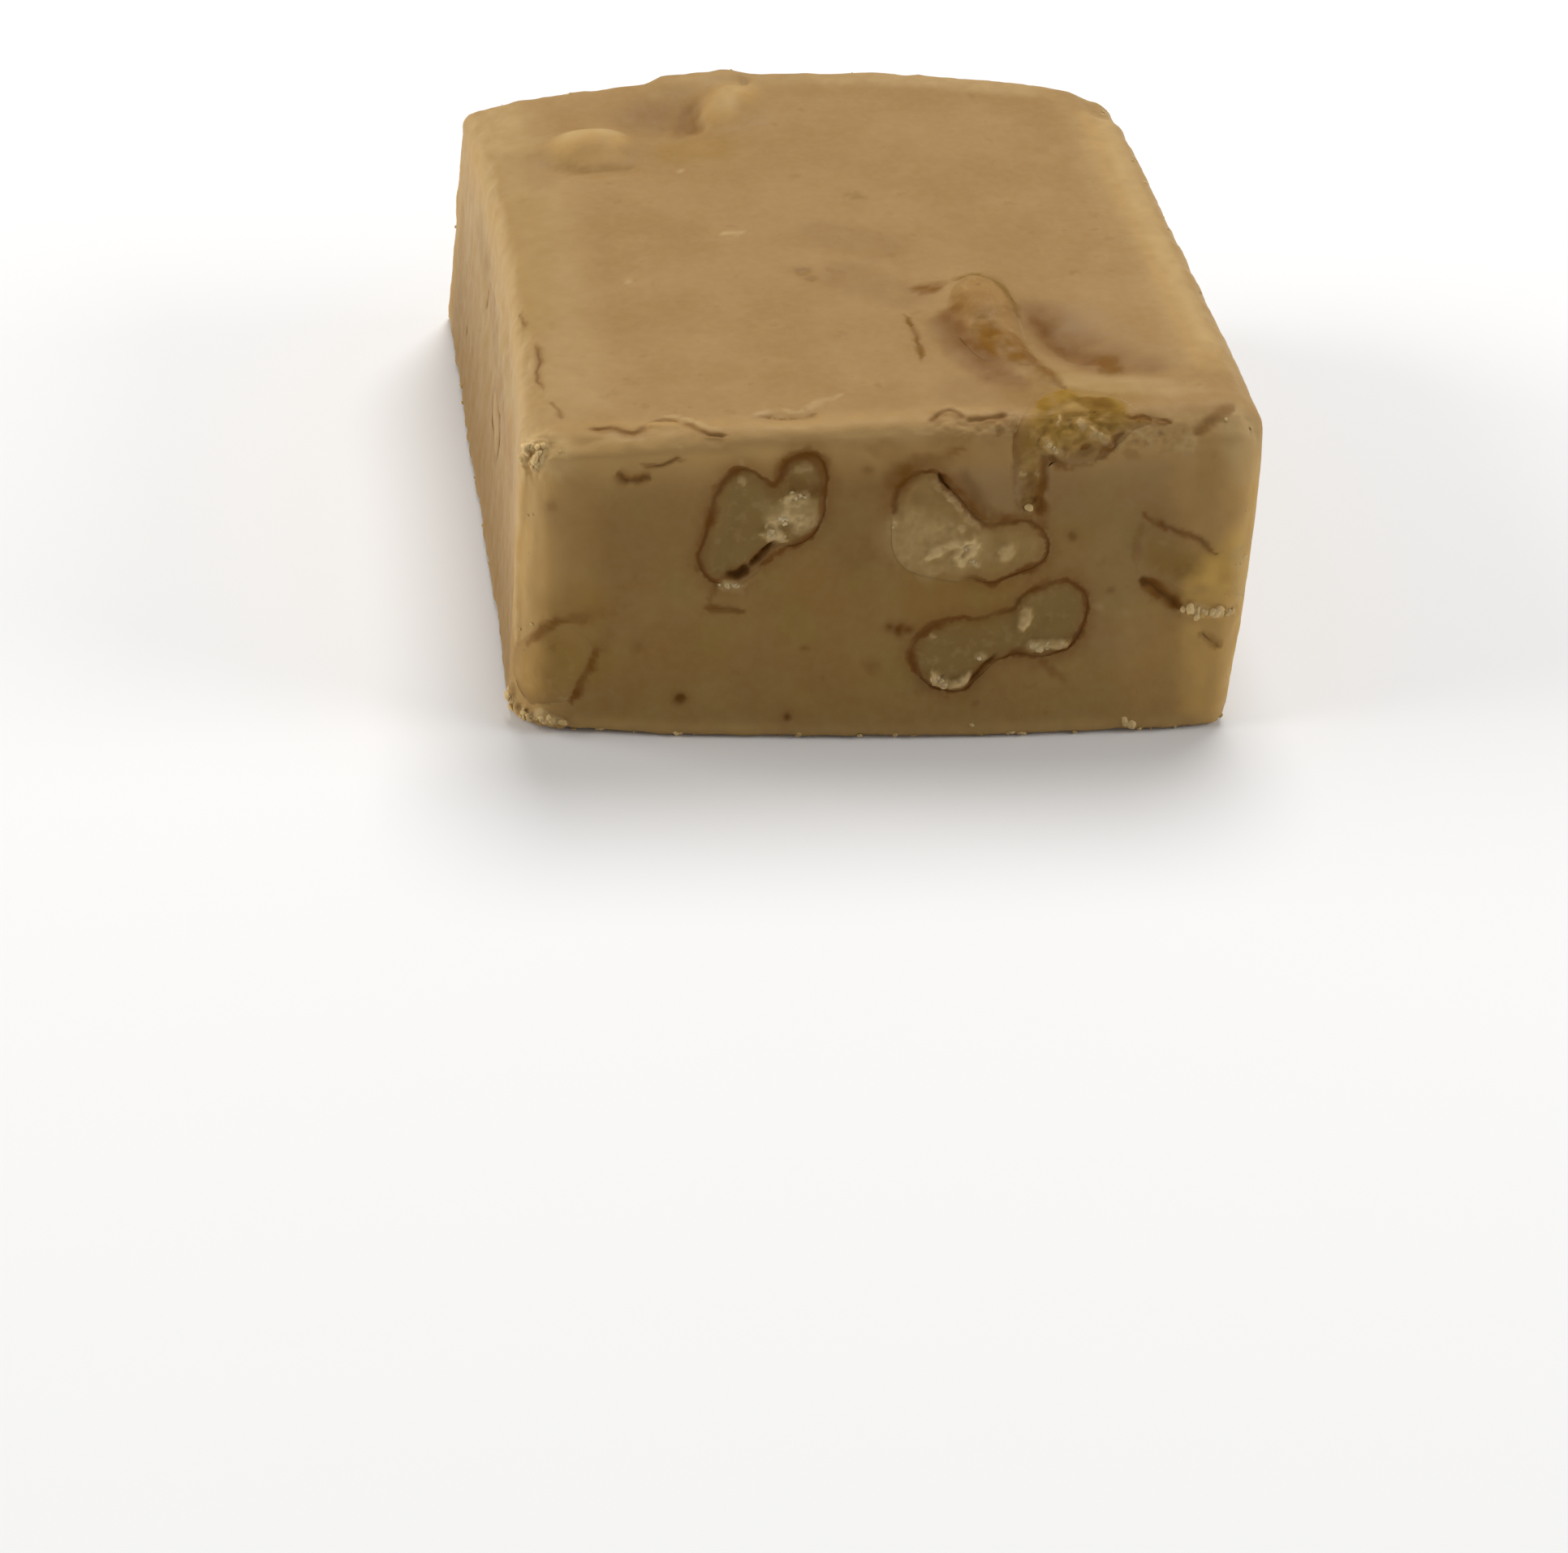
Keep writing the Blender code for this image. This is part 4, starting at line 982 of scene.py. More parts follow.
def line_distance(points, line):
    """Distance from each point to a run of straight pieces, and how far along it that is, from 0 to 1."""
    line = np.asarray(line, float)
    best = np.full(len(points), FAR)
    along = np.zeros(len(points))
    near = np.all((points > line.min(axis=0) - 5.0) & (points < line.max(axis=0) + 5.0), axis=1)
    chosen = points[near]
    closest, place = best[near], along[near]
    lengths = np.maximum(np.linalg.norm(np.diff(line, axis=0), axis=1), 1e-6)
    total, passed = lengths.sum(), 0.0
    for start, end, length in zip(line[:-1], line[1:], lengths):
        t = np.clip((chosen - start) @ (end - start) / length**2, 0.0, 1.0)
        apart = np.linalg.norm(chosen - start - t[:, None] * (end - start), axis=1)
        closer = apart < closest
        closest = np.where(closer, apart, closest)
        place = np.where(closer, (passed + t * length) / total, place)
        passed += length
    best[near], along[near] = closest, place
    return best, along


def rounded_line(line):
    """The closed line with its corners cut off twice."""
    line = np.asarray(line, float)
    for _ in range(2):
        after = np.roll(line, -1, axis=0)
        line = np.stack([0.75 * line + 0.25 * after, 0.25 * line + 0.75 * after], axis=1).reshape(-1, 2)
    return line


def outline_distance(flat, line):
    """Distance from flat points to a closed line, negative inside it."""
    best = np.full(len(flat), 9.0)
    near = np.all((flat > line.min(axis=0) - 3.0) & (flat < line.max(axis=0) + 3.0), axis=1)
    chosen = flat[near]
    closest = np.full(len(chosen), 9.0)
    inside = np.zeros(len(chosen), bool)
    for start, end in zip(line, np.roll(line, -1, axis=0)):
        run = end - start
        t = np.clip((chosen - start) @ run / max(run @ run, 1e-9), 0.0, 1.0)
        closest = np.minimum(closest, np.linalg.norm(chosen - start - t[:, None] * run, axis=1))
        level = (start[1] > chosen[:, 1]) != (end[1] > chosen[:, 1])
        rise = run[1] if abs(run[1]) > 1e-9 else 1e-9
        inside ^= level & (chosen[:, 0] < start[0] + (chosen[:, 1] - start[1]) / rise * run[0])
    best[near] = np.where(inside, -closest, closest)
    return best


def places_of(mesh):
    found = np.zeros(len(mesh.vertices) * 3, np.float32)
    mesh.vertices.foreach_get("co", found)
    return found.reshape(-1, 3).astype(float)


def set_places(mesh, places):
    mesh.vertices.foreach_set("co", np.ascontiguousarray(places, np.float32).ravel())
    mesh.update()


def normals_of(mesh):
    found = np.zeros(len(mesh.vertices) * 3, np.float32)
    mesh.vertices.foreach_get("normal", found)
    return found.reshape(-1, 3).astype(float)


def add_values(mesh, name, values):
    """A number on each vertex that a material reads."""
    made = mesh.attributes.new(name, "FLOAT", "POINT")
    made.data.foreach_set("value", np.ascontiguousarray(values, np.float32))


def add_colour(mesh, name, colour):
    made = mesh.attributes.new(name, "FLOAT_COLOR", "POINT")
    made.data.foreach_set("color", np.tile((*colour, 1.0), len(mesh.vertices)).astype(np.float32))


def temporary(mesh):
    made = bpy.data.objects.new("temporary", mesh)
    bpy.context.scene.collection.objects.link(made)
    return made


def applied(item):
    """The object's mesh with its modifiers applied. The object itself goes."""
    graph = bpy.context.evaluated_depsgraph_get()
    mesh = bpy.data.meshes.new_from_object(item.evaluated_get(graph))
    bpy.data.objects.remove(item)
    return mesh


def remeshed(mesh, cell):
    source = temporary(mesh)
    melt = source.modifiers.new("melt", "REMESH")
    melt.mode = "VOXEL"
    melt.voxel_size = cell
    return applied(source)


def combined(mesh, other, operation):
    """The mesh cut or kept by another one."""
    source = temporary(mesh)
    tool = temporary(other)
    cut = source.modifiers.new("cut", "BOOLEAN")
    cut.operation = operation
    cut.solver = "MANIFOLD"
    cut.object = tool
    result = applied(source)
    bpy.data.objects.remove(tool)
    return result


def tree_of(mesh):
    return BVHTree.FromPolygons([v.co for v in mesh.vertices], [p.vertices for p in mesh.polygons])


# The block's shape, as in the solids.


def round_edges(points):
    right, back = points[:, 0] / WIDTH + 0.5, points[:, 1] / DEPTH + 0.5
    height = points[:, 2] / HEIGHT
    front = (1.0 - back) ** 3
    level = UPRIGHT_EDGE_RADIUS + height * (TOP_RADIUS - UPRIGHT_EDGE_RADIUS)
    level += FRONT_RIGHT_EXTRA_RADIUS * smooth_step(4.0 * right - 3.0) * front * np.sqrt(height)
    level += FRONT_LEFT_EXTRA_RADIUS * smooth_step(1.0 - 4.0 * right) * front
    upright = FOOT_RADIUS + height * (TOP_RADIUS - FOOT_RADIUS)
    upright += 0.6 * FRONT_RIGHT_EXTRA_RADIUS * right**2 * (1.0 - back) ** 2 * height
    radius = np.stack([level, level, upright], axis=1)
    core = np.clip(points, BOX_LOW + radius, BOX_HIGH - radius)
    outward = (points - core) / radius
    length = np.linalg.norm(outward, axis=1, keepdims=True)
    return core + outward / np.maximum(length, 1e-9) * radius


def corner_shift(right, back, height):
    moved = np.zeros((len(right), 3))
    for (is_right, is_back, is_top), shift in CORNER_SHIFTS.items():
        share = right if is_right else 1.0 - right
        share = share * (back if is_back else 1.0 - back)
        share = share * (height if is_top else 1.0 - height)
        moved += share[:, None] * np.array(shift)
    return moved


def top_relief(x, y):
    raised = np.zeros(len(x))
    for centre_x, centre_y, reach_x, reach_y, rise in TOP_RELIEF:
        raised += rise * np.exp(-(((x - centre_x) / reach_x) ** 2 + ((y - centre_y) / reach_y) ** 2))
    return raised


def uneven_block(points):
    points = round_edges(points)
    right, back = points[:, 0] / WIDTH + 0.5, points[:, 1] / DEPTH + 0.5
    height = points[:, 2] / HEIGHT
    moved = points + corner_shift(right, back, height)
    moved[:, 0] += LEFT_WAIST * (1.0 - right) * arch(back) * height
    moved[:, 0] += RIGHT_BULGE * right * (1.0 - back) ** 2 * np.sqrt(arch(np.clip(height, 0.0, 1.0)))
    moved[:, 1] -= FRONT_FOOT_BULGE * (1.0 - back) * arch(right) * (1.0 - height) ** 2
    moved[:, 1] += BACK_BULGE * back * arch(right)
    moved[:, 2] += BACK_CROWN * back**3 * arch(right) * height
    near_top = smooth_step((points[:, 2] - HEIGHT + TOP_SKIN_DEPTH) / TOP_SKIN_DEPTH)
    moved[:, 2] += near_top * top_relief(moved[:, 0], moved[:, 1])
    return moved


def box_grid(cells, band_cells, band):
    """A cube cut into cells, with its points on the plain box."""
    grid = bmesh.new()
    bmesh.ops.create_cube(grid, size=1.0)
    for axis, count in enumerate(cells):
        along = [e for e in grid.edges if abs(e.verts[0].co[axis] - e.verts[1].co[axis]) > 1e-6]
        bmesh.ops.subdivide_edges(grid, edges=along, cuts=count - 1)
    places = np.array([v.co for v in grid.verts]) + 0.5
    for axis, count in enumerate(cells):
        low, high = BOX_LOW[axis], BOX_HIGH[axis]
        stops = [0, band_cells, count - band_cells, count]
        places[:, axis] = np.interp(places[:, axis] * count, stops, [low, low + band, high - band, high])
    for vert, place in zip(grid.verts, places):
        vert.co = place
    return grid


def origin_of_solids():
    """Where the solids' origin is: the middle of the foot of their bounding box."""
    grid = box_grid(SOLID_CELLS, SOLID_BAND_CELLS, SOLID_BAND)
    places = uneven_block(np.array([v.co for v in grid.verts]))
    grid.free()
    low, high = places.min(axis=0), places.max(axis=0)
    return np.array([(low[0] + high[0]) / 2, (low[1] + high[1]) / 2, low[2]])


def edge_run():
    """Points close together along the block's twelve edges."""
    runs = []
    steps = np.linspace(0.0, 1.0, 140)
    for axis in range(3):
        others = [a for a in range(3) if a != axis]
        for first in (0, 1):
            for second in (0, 1):
                unit = np.zeros((len(steps), 3))
                unit[:, axis] = steps
                unit[:, others[0]] = first
                unit[:, others[1]] = second
                runs.append(BOX_LOW + unit * (BOX_HIGH - BOX_LOW))
    return uneven_block(np.concatenate(runs))


def edge_distance(points, run):
    best = np.full(len(points), FAR)
    for chunk in np.array_split(np.arange(len(points)), max(1, len(points) // 4000)):
        apart = ((points[chunk][:, None, :] - run[None, :, :]) ** 2).sum(axis=2)
        best[chunk] = np.sqrt(apart.min(axis=1))
    return best


# Places drawn on the faces.


def axes_of(face):
    return (np.array(axis) for axis in FACES[face])


class Surface:
    """The smooth block's surface, and the drawn features laid on it."""

    def __init__(self, mesh):
        self.tree = tree_of(mesh)
        self.run = edge_run()
        self.strokes = [
            (kind, *row, self.laid(face, line))
            for (kind, face), rows in STROKES.items()
            for *row, line in rows
        ]
        self.relief = self.laid_rows(RELIEF)
        self.cracks = self.laid_rows(CRACKS)
        self.crumbly = self.laid_rows(CRUMBLY)
        self.gaps = self.laid_rows(GAPS)
        self.pits = [
            (self.laid(face, (place,))[0], *row)
            for face, rows in PITS.items()
            for place, *row in rows
        ]

    def laid_rows(self, table):
        """The table's rows without their faces, each line put on the block's surface."""
        return [(*row, self.laid(face, line)) for face, rows in table.items() for *row, line in rows]

    def laid(self, face, line):
        """Points drawn on a face, put on the block's surface."""
        across, up, toward = axes_of(face)
        found = []
        for u, v in line:
            drawn = u * across + v * up
            seat = self.tree.ray_cast(Vector(drawn + DROP_FROM * toward), Vector(-toward))[0]
            if seat is None:
                seat = self.tree.find_nearest(Vector(drawn + MISSED_FROM * toward))[0]
            found.append(tuple(seat))
        return np.array(found)


def near_line(points, line, width):
    """1 near a line, one half at its half width from it, and 0 from one and a half of them."""
    return smooth_step(1.5 - line_distance(points, line)[0] / width)


def drawn_line(points, line, width, wide):
    """As near_line, with the line narrower toward its ends and uneven along it."""
    apart, along = line_distance(points, line)
    ends = smooth_step(4.0 * np.minimum(along, 1.0 - along) + 0.3)
    return smooth_step(1.5 - apart / (width * wide * (0.45 + 0.55 * ends)))


def section_distance(points, name):
    """Distance to the edge of a walnut piece's cut, negative inside it."""
    face, line = OUTLINES[name]
    across, up, toward = axes_of(face)
    flat = np.stack([points @ across, points @ up], axis=1)
    flat += 0.1 * np.stack([layered(points, 0.8, 2, 180), layered(points, 0.8, 2, 190)], axis=1)
    apart = outline_distance(flat, rounded_line(line))
    body = lobed_distance(points, LOBES[name]) - SWELLS.get(name, SWELL)
    apart = np.maximum(apart, body)
    return np.where(points @ toward > FACE_REACH[face], apart, np.maximum(body, 1.0))


def nearest_section(points):
    """Distance to the nearest walnut piece's cut, and how much of that piece's skin line shows."""
    apart = np.stack([section_distance(points, name) for name in LOBES])
    skins = np.array([FINISH.get(name, PLAIN_FINISH).get("skin", 1.0) for name in LOBES])
    return apart.min(axis=0), skins[apart.argmin(axis=0)]


# Walnut bodies.


def lobed_distance(points, lobes):
    crowd = np.zeros(len(points))
    for x, y, z, radius in lobes:
        apart = np.linalg.norm(points - np.array([x, y, z]), axis=1) - radius
        crowd += np.exp(-np.clip(apart / SKIN_BLEND, -40.0, 40.0))
    return -SKIN_BLEND * np.log(crowd)


def lobed_mesh(lobes, offset, cell):
    balls = bmesh.new()
    for x, y, z, radius in lobes:
        ball = bmesh.ops.create_icosphere(balls, subdivisions=3, radius=radius + offset)
        bmesh.ops.translate(balls, verts=ball["verts"], vec=Vector((x, y, z)))
    loose = bpy.data.meshes.new("lobes")
    balls.to_mesh(loose)
    balls.free()
    return remeshed(loose, cell)


def drawn_prism(name, offset):
    """The drawn outline pushed out by offset, as a bar that runs through its face."""
    face, line = OUTLINES[name]
    across, up, toward = axes_of(face)
    line = rounded_line(line)
    run = np.roll(line, -1, axis=0) - np.roll(line, 1, axis=0)
    aside = np.stack([run[:, 1], -run[:, 0]], axis=1) / np.linalg.norm(run, axis=1, keepdims=True)
    turn = np.sum(line[:, 0] * np.roll(line[:, 1], -1) - line[:, 1] * np.roll(line[:, 0], -1))
    line = line + aside * offset * (1.0 if turn > 0 else -1.0)
    bar = bmesh.new()
    rings = []
    for out in (FACE_REACH[face], BAR_END):
        rings.append([bar.verts.new(Vector(u * across + v * up + out * toward)) for u, v in line])
    bar.faces.new(rings[0])
    bar.faces.new(rings[1])
    for k in range(len(line)):
        after = (k + 1) % len(line)
        bar.faces.new((rings[0][k], rings[0][after], rings[1][after], rings[1][k]))
    bmesh.ops.recalc_face_normals(bar, faces=bar.faces)
    mesh = bpy.data.meshes.new("bar")
    bar.to_mesh(mesh)
    bar.free()
    return mesh


def walnut_body(name, offset, cell):
    swollen = lobed_mesh(LOBES[name], SWELLS.get(name, SWELL) + offset, LOBE_CELL)
    return remeshed(combined(swollen, drawn_prism(name, offset), "INTERSECT"), cell)


# The surface's relief and tints.


def broad_relief(points):
    """The unevenness that fudge and walnut share, in mm."""
    return waves(points, *BROAD_WAVES) + waves(points, *SMALL_WAVES)


def crack_fields(points, surface):
    """How deep the cracks cut at each point, and how much painted shade browns them there."""
    moved = wobbled(points, *CRACK_WANDER)
    wide = varied(points, *CRACK_WIDTH)
    deep, shade = np.zeros(len(points)), np.zeros(len(points))
    for half_width, depth, line in surface.cracks:
        apart, along = line_distance(moved, line)
        ends = smooth_step(np.minimum(1.0, 5.0 * np.minimum(along, 1.0 - along) + 0.2))
        width = half_width * (0.6 + 0.4 * ends) * wide
        deep = np.maximum(deep, depth * ends * np.exp(-((apart / width) ** 2)))
        deep = deep - LIP_HEIGHT * ends * np.exp(-(((apart - LIP_PLACE * half_width) / half_width) ** 2))
        strength = min(1.0, CRACK_SHADE + CRACK_SHADE_BY_DEPTH * depth)
        shade = np.maximum(shade, strength * ends * np.exp(-((apart / (CRACK_SHADE_WIDTH * width)) ** 2)))
    return deep, shade


def crumbly_fields(points, surface):
    """How much each point lies in a crumbly stretch, and how deep that is there."""
    mask, depth = np.zeros(len(points)), np.zeros(len(points))
    for reach, deep, line in surface.crumbly:
        near = near_line(points, line, reach)
        depth = np.maximum(depth, near * deep)
        mask = np.maximum(mask, near)
    return mask, depth


def crumble(points, depth):
    """Small grains that stand out and the gaps between them."""
    gaps = 1.1 * smooth_step(grains(points, 0.55, 71) * 1.15)
    return depth * (0.5 - gaps + waves(points, *CRUMBLE_GRAIN))


def shared_relief(points, surface):
    """Relief that runs over fudge and walnut alike, in mm."""
    out = broad_relief(points)
    moved = wobbled(points, *RELIEF_WANDER)
    for width, height, line in surface.relief:
        out += height * near_line(moved, line, width)
    out -= crack_fields(points, surface)[0]
    out += crumble(points, crumbly_fields(points, surface)[1])
    for place, radius, deep, _ in surface.pits:
        out -= deep * np.exp(-((np.linalg.norm(points - place, axis=1) / radius) ** 4))
    return out


def fudge_relief(points, edge, surface):
    """How far the fudge's surface stands out from the smooth block, in mm."""
    out = shared_relief(points, surface)
    out += waves(points, *FINE_GRAIN)
    left = smooth_step((-points[:, 0] - 19.5) / 1.5)
    out += left * (waves(points, *LEFT_STREAKS) + waves(points, *LEFT_THIN_STREAKS))
    near_edge = np.exp(-((edge / WORN_EDGE) ** 2))
    out += near_edge * (waves(points, *EDGE_CHIPS) - np.maximum(waves(points, *EDGE_BITES), 0.0))
    rim, skin = nearest_section(points)
    out -= SKIN_GROOVE * skin * np.exp(-((rim / SKIN_GROOVE_WIDTH) ** 2))
    return out


def shared_values(points, surface):
    """What both materials read about a place on the surface."""
    moved = wobbled(points, *STROKE_WANDER)
    ragged = wobbled(moved, *RAGGED_WANDER)
    uneven = varied(points, *STROKE_STRENGTH)
    wide = varied(points, *STROKE_WIDTH)
    values = {kind: np.zeros(len(points)) for kind in (*TINTS, "brown", "dark")}
    for kind, width, strength, line in surface.strokes:
        places = ragged if kind == "pale" or width < RAGGED_BELOW else moved
        if width < UNEVEN_BELOW:
            share = drawn_line(places, line, width, wide)
        else:
            share = near_line(places, line, width)
        values[kind] = np.maximum(values[kind], strength * share * uneven)
    streaks = np.clip(1.0 - 2.6 * np.abs(layered(points, *MEAT_STREAKS)), 0.0, 1.0)
    values["pale"] *= 0.6 + 0.5 * streaks
    # Painted shade in the cracks and pits, laid on as brown and, where strongest, as dark.
    shade = crack_fields(points, surface)[1]
    for place, radius, _, dark in surface.pits:
        near = np.exp(-((np.linalg.norm(moved - place, axis=1) / (PIT_SHADE_WIDTH * radius)) ** 2))
        shade = np.maximum(shade, dark * near)
    values["brown"] = np.maximum(values["brown"], shade)
    values["dark"] = np.maximum(values["dark"], CRACK_DARKNESS * shade**3)
    values["gap"] = np.maximum.reduce([near_line(points, line, width) for width, line in surface.gaps])
    return values


def build_fudge(material):
    """The fudge with all that shows in its surface, and the smooth block's surface to place things on."""
    grid = box_grid(FINE_CELLS, FINE_BAND_CELLS, FINE_BAND)
    underside = [f for f in grid.faces if all(v.co.z < 1e-6 for v in f.verts)]
    bmesh.ops.dissolve_faces(grid, faces=underside, use_verts=True)
    coarse = bpy.data.meshes.new("smooth")
    grid.to_mesh(coarse)
    set_places(coarse, uneven_block(places_of(coarse)))
    surface = Surface(coarse)
    refine(grid, surface)
    mesh = bpy.data.meshes.new("fudge")
    grid.to_mesh(mesh)
    grid.free()
    places = uneven_block(places_of(mesh))
    set_places(mesh, places)
    above = smooth_step(places[:, 2] / 0.25)
    out = fudge_relief(places, edge_distance(places, surface.run), surface) * above
    set_places(mesh, places + out[:, None] * normals_of(mesh))
    for name in LOBES:
        mesh = combined(mesh, walnut_body(name, POCKET_OFFSET, POCKET_CELL), "DIFFERENCE")
    fudge_values(mesh, surface)
    return finished("fudge", mesh, material), surface


def refine(grid, surface):
    """Cuts the grid finer round the small features."""
    for step, reach in enumerate(REFINE_REACHES):
        places = uneven_block(np.array([v.co for v in grid.verts]))
        apart = np.full(len(places), FAR)
        for _, _, line in surface.cracks:
            apart = np.minimum(apart, line_distance(places, line)[0])
        for wide, _, line in surface.crumbly:
            apart = np.minimum(apart, np.maximum(line_distance(places, line)[0] - 0.8 * wide, 0.0))
        for place, radius, _, _ in surface.pits:
            apart = np.minimum(apart, np.maximum(np.linalg.norm(places - place, axis=1) - radius, 0.0))
        if step == 0:
            apart = np.minimum(apart, np.abs(nearest_section(places)[0]) + 0.2)
        near = apart < reach
        grid.verts.index_update()
        chosen = [
            e for e in grid.edges
            if near[e.verts[0].index] and near[e.verts[1].index] and e.verts[0].co.z + e.verts[1].co.z > 0.01
        ]
        bmesh.ops.subdivide_edges(grid, edges=chosen, cuts=1, use_grid_fill=True)


def fudge_values(mesh, surface):
    """Puts on the fudge what its material reads."""
    points, normals = places_of(mesh), normals_of(mesh)
    values = shared_values(points, surface)
    edge = edge_distance(points, surface.run)
    values["rim"], skin = nearest_section(points)
    values["gap"] = np.maximum(values["gap"], 1.0 - skin)
    # Where the left face's colour lies, which holds painted light.
    values["left"] = smooth_step((-normals[:, 0] - 0.35) / 0.5)
    values["foot"] = 1.0 - smooth_step((points[:, 2] - 2.0) / 14.0)
    upper = edge_distance(points, surface.run[surface.run[:, 2] > UPPER_EDGE_LEVEL])
    sides = smooth_step((0.8 - normals[:, 2]) / 0.6)
    # Painted shade: the sides take the darker cut colour, fading in from the upper edges down over about five
    # millimetres.
    values["cut"] = sides * (0.1 + 0.9 * smooth_step((upper - 0.6) / 4.2))
    # Painted light: the sides are made amber just below the upper edges, fading out within about three
    # millimetres.
    band = sides * np.exp(-((np.maximum(upper - BAND_START, 0.0) / BAND_WIDTH) ** 2))
    values["amber"] = np.maximum(values["amber"], band * varied(points, *EDGE_BAND_LIGHT))
    # The colour is made lighter along the edges, except where they face down.
    lighter_edge = EDGE_LIGHTENING * np.exp(-(edge**2)) * (1.0 - smooth_step(-normals[:, 2]))
    crumbly = crumbly_fields(points, surface)[0] * varied(points, *CRUMBLY_LIGHT)
    values["light"] = np.maximum.reduce([values["light"], lighter_edge, crumbly])
    for name, numbers in values.items():
        add_values(mesh, name, numbers)


def build_walnut(name, surface, material):
    """A walnut piece, cut flush with the fudge, with its skin line and broken meat."""
    finish = FINISH.get(name, PLAIN_FINISH)
    mesh = walnut_body(name, WALNUT_OFFSET, BODY_CELL)
    places = places_of(mesh)
    found = [surface.tree.find_nearest(Vector(p)) for p in places]
    seats = np.array([f[0] for f in found])
    outward = np.array([f[1] for f in found])
    height = ((places - seats) * outward).sum(axis=1)
    cut = height > -0.02
    rim = section_distance(seats, name)
    values = shared_values(seats, surface)
    inside = smooth_step(-rim / 0.35)
    broken = values["pale"] * inside
    relief = shared_relief(seats, surface)
    values["gap"] = np.maximum(values["gap"], 1.0 - finish.get("skin", 1.0))
    relief -= MEAT_GROOVE * (1.0 - values["gap"]) * np.exp(-(((rim - 0.02) / MEAT_GROOVE_WIDTH) ** 2))
    creases = MEAT_CREASE_HEIGHT * (0.4 - np.abs(layered(seats, *MEAT_CREASES)))
    relief += finish["rough"] * inside * (waves(seats, *MEAT_WAVES) + creases)
    relief += broken * (0.14 - 0.4 * np.abs(layered(seats, *MEAT_STREAKS)) + waves(seats, *MEAT_GRAIN))
    sunk = places + np.minimum(broad_relief(seats), 0.0)[:, None] * outward
    set_places(mesh, np.where(cut[:, None], seats + relief[:, None] * outward, sunk))
    values["rim"] = np.where(cut, rim, 0.0)
    for label, numbers in values.items():
        add_values(mesh, label, numbers)
    add_colour(mesh, "meat", finish["meat"])
    return finished(name + "_meat", mesh, material)


def finished(name, mesh, material):
    """The mesh as an object in metres, in the solids' frame, smoothly shaded."""
    mesh.name = name
    set_places(mesh, (places_of(mesh) - ORIGIN) * MILLIMETRE)
    mesh.materials.clear()
    mesh.materials.append(material)
    mesh.polygons.foreach_set("material_index", np.zeros(len(mesh.polygons), np.int32))
    mesh.shade_smooth()
    mesh.set_sharp_from_angle(angle=math.radians(SHARP_ANGLE))
    made = bpy.data.objects.new(name, mesh)
    bpy.context.scene.collection.objects.link(made)
    return made


# Crumbs.


def crumb_mesh(spots, seed):
    """Small uneven lumps, flattened along the surface: middle, radius, outward direction."""
    ball = bmesh.new()
    bmesh.ops.create_icosphere(ball, subdivisions=2, radius=1.0)
    unit = np.array([v.co for v in ball.verts])
    faces = np.array([[v.index for v in f.verts] for f in ball.faces])
    ball.free()
    rng = np.random.default_rng(seed)
    points, polygons = [], []
    for number, (middle, radius, outward) in enumerate(spots):
        stretch = rng.uniform(0.6, 1.4, 3)
        turn = np.linalg.qr(rng.normal(size=(3, 3)))[0]
        lumpy = unit * stretch * rng.uniform(0.74, 1.14, (len(unit), 1))
        lump = lumpy @ turn * radius
        lump -= CRUMB_FLATNESS * np.outer(lump @ outward, outward)
        points.append(lump + middle)
        polygons.append((faces if np.linalg.det(turn) > 0 else faces[:, ::-1]) + number * len(unit))
    mesh = bpy.data.meshes.new("crumbs")
    mesh.from_pydata(np.concatenate(points).tolist(), [], np.concatenate(polygons).tolist())
    mesh.update()
    return mesh


def crumb_spots(surface):
    """Where crumbs of each kind lie, half sunk in the surface."""
    rng = np.random.default_rng(CRUMB_SEED)
    kinds, seats, outwards, sizes = [], [], [], []

    def settle(kind, place, radius, rise):
        seat, outward = surface.tree.find_nearest(Vector(place))[:2]
        kinds.append(kind)
        seats.append(tuple(seat))
        outwards.append(tuple(outward))
        sizes.append((radius, rise))

    for kind, face, scatter, count, radius, line in CRUMB_ROWS:
        start, end = surface.laid(face, line)
        for _ in range(count):
            place = start + rng.random() * (end - start) + rng.normal(0.0, scatter, 3)
            settle(kind, place, radius * rng.uniform(0.6, 1.2), rng.uniform(-0.45, 0.05))
    upper = surface.run[surface.run[:, 2] > EDGE_LEVEL]
    foot = surface.run[surface.run[:, 2] < FOOT_LEVEL]
    for run, (count, scatter, smallest, largest, least, most) in ((upper, EDGE_CRUMBS), (foot, FOOT_CRUMBS)):
        for _ in range(count):
            place = run[rng.integers(len(run))] + rng.normal(0.0, scatter, 3)
            settle("pale", place, rng.uniform(smallest, largest), rng.uniform(least, most))
    seats, outwards, sizes = np.array(seats), np.array(outwards), np.array(sizes)
    lift = sizes[:, 0] * sizes[:, 1] + shared_relief(seats, surface)
    middles = seats + outwards * lift[:, None]
    middles[:, 2] = np.maximum(middles[:, 2], 0.8 * sizes[:, 0])
    spots = {kind: [] for kind, *_ in CRUMB_PIECES}
    for kind, middle, radius, outward in zip(kinds, middles, sizes[:, 0], outwards):
        spots[kind].append((middle, radius, outward))
    return spots


# Materials.


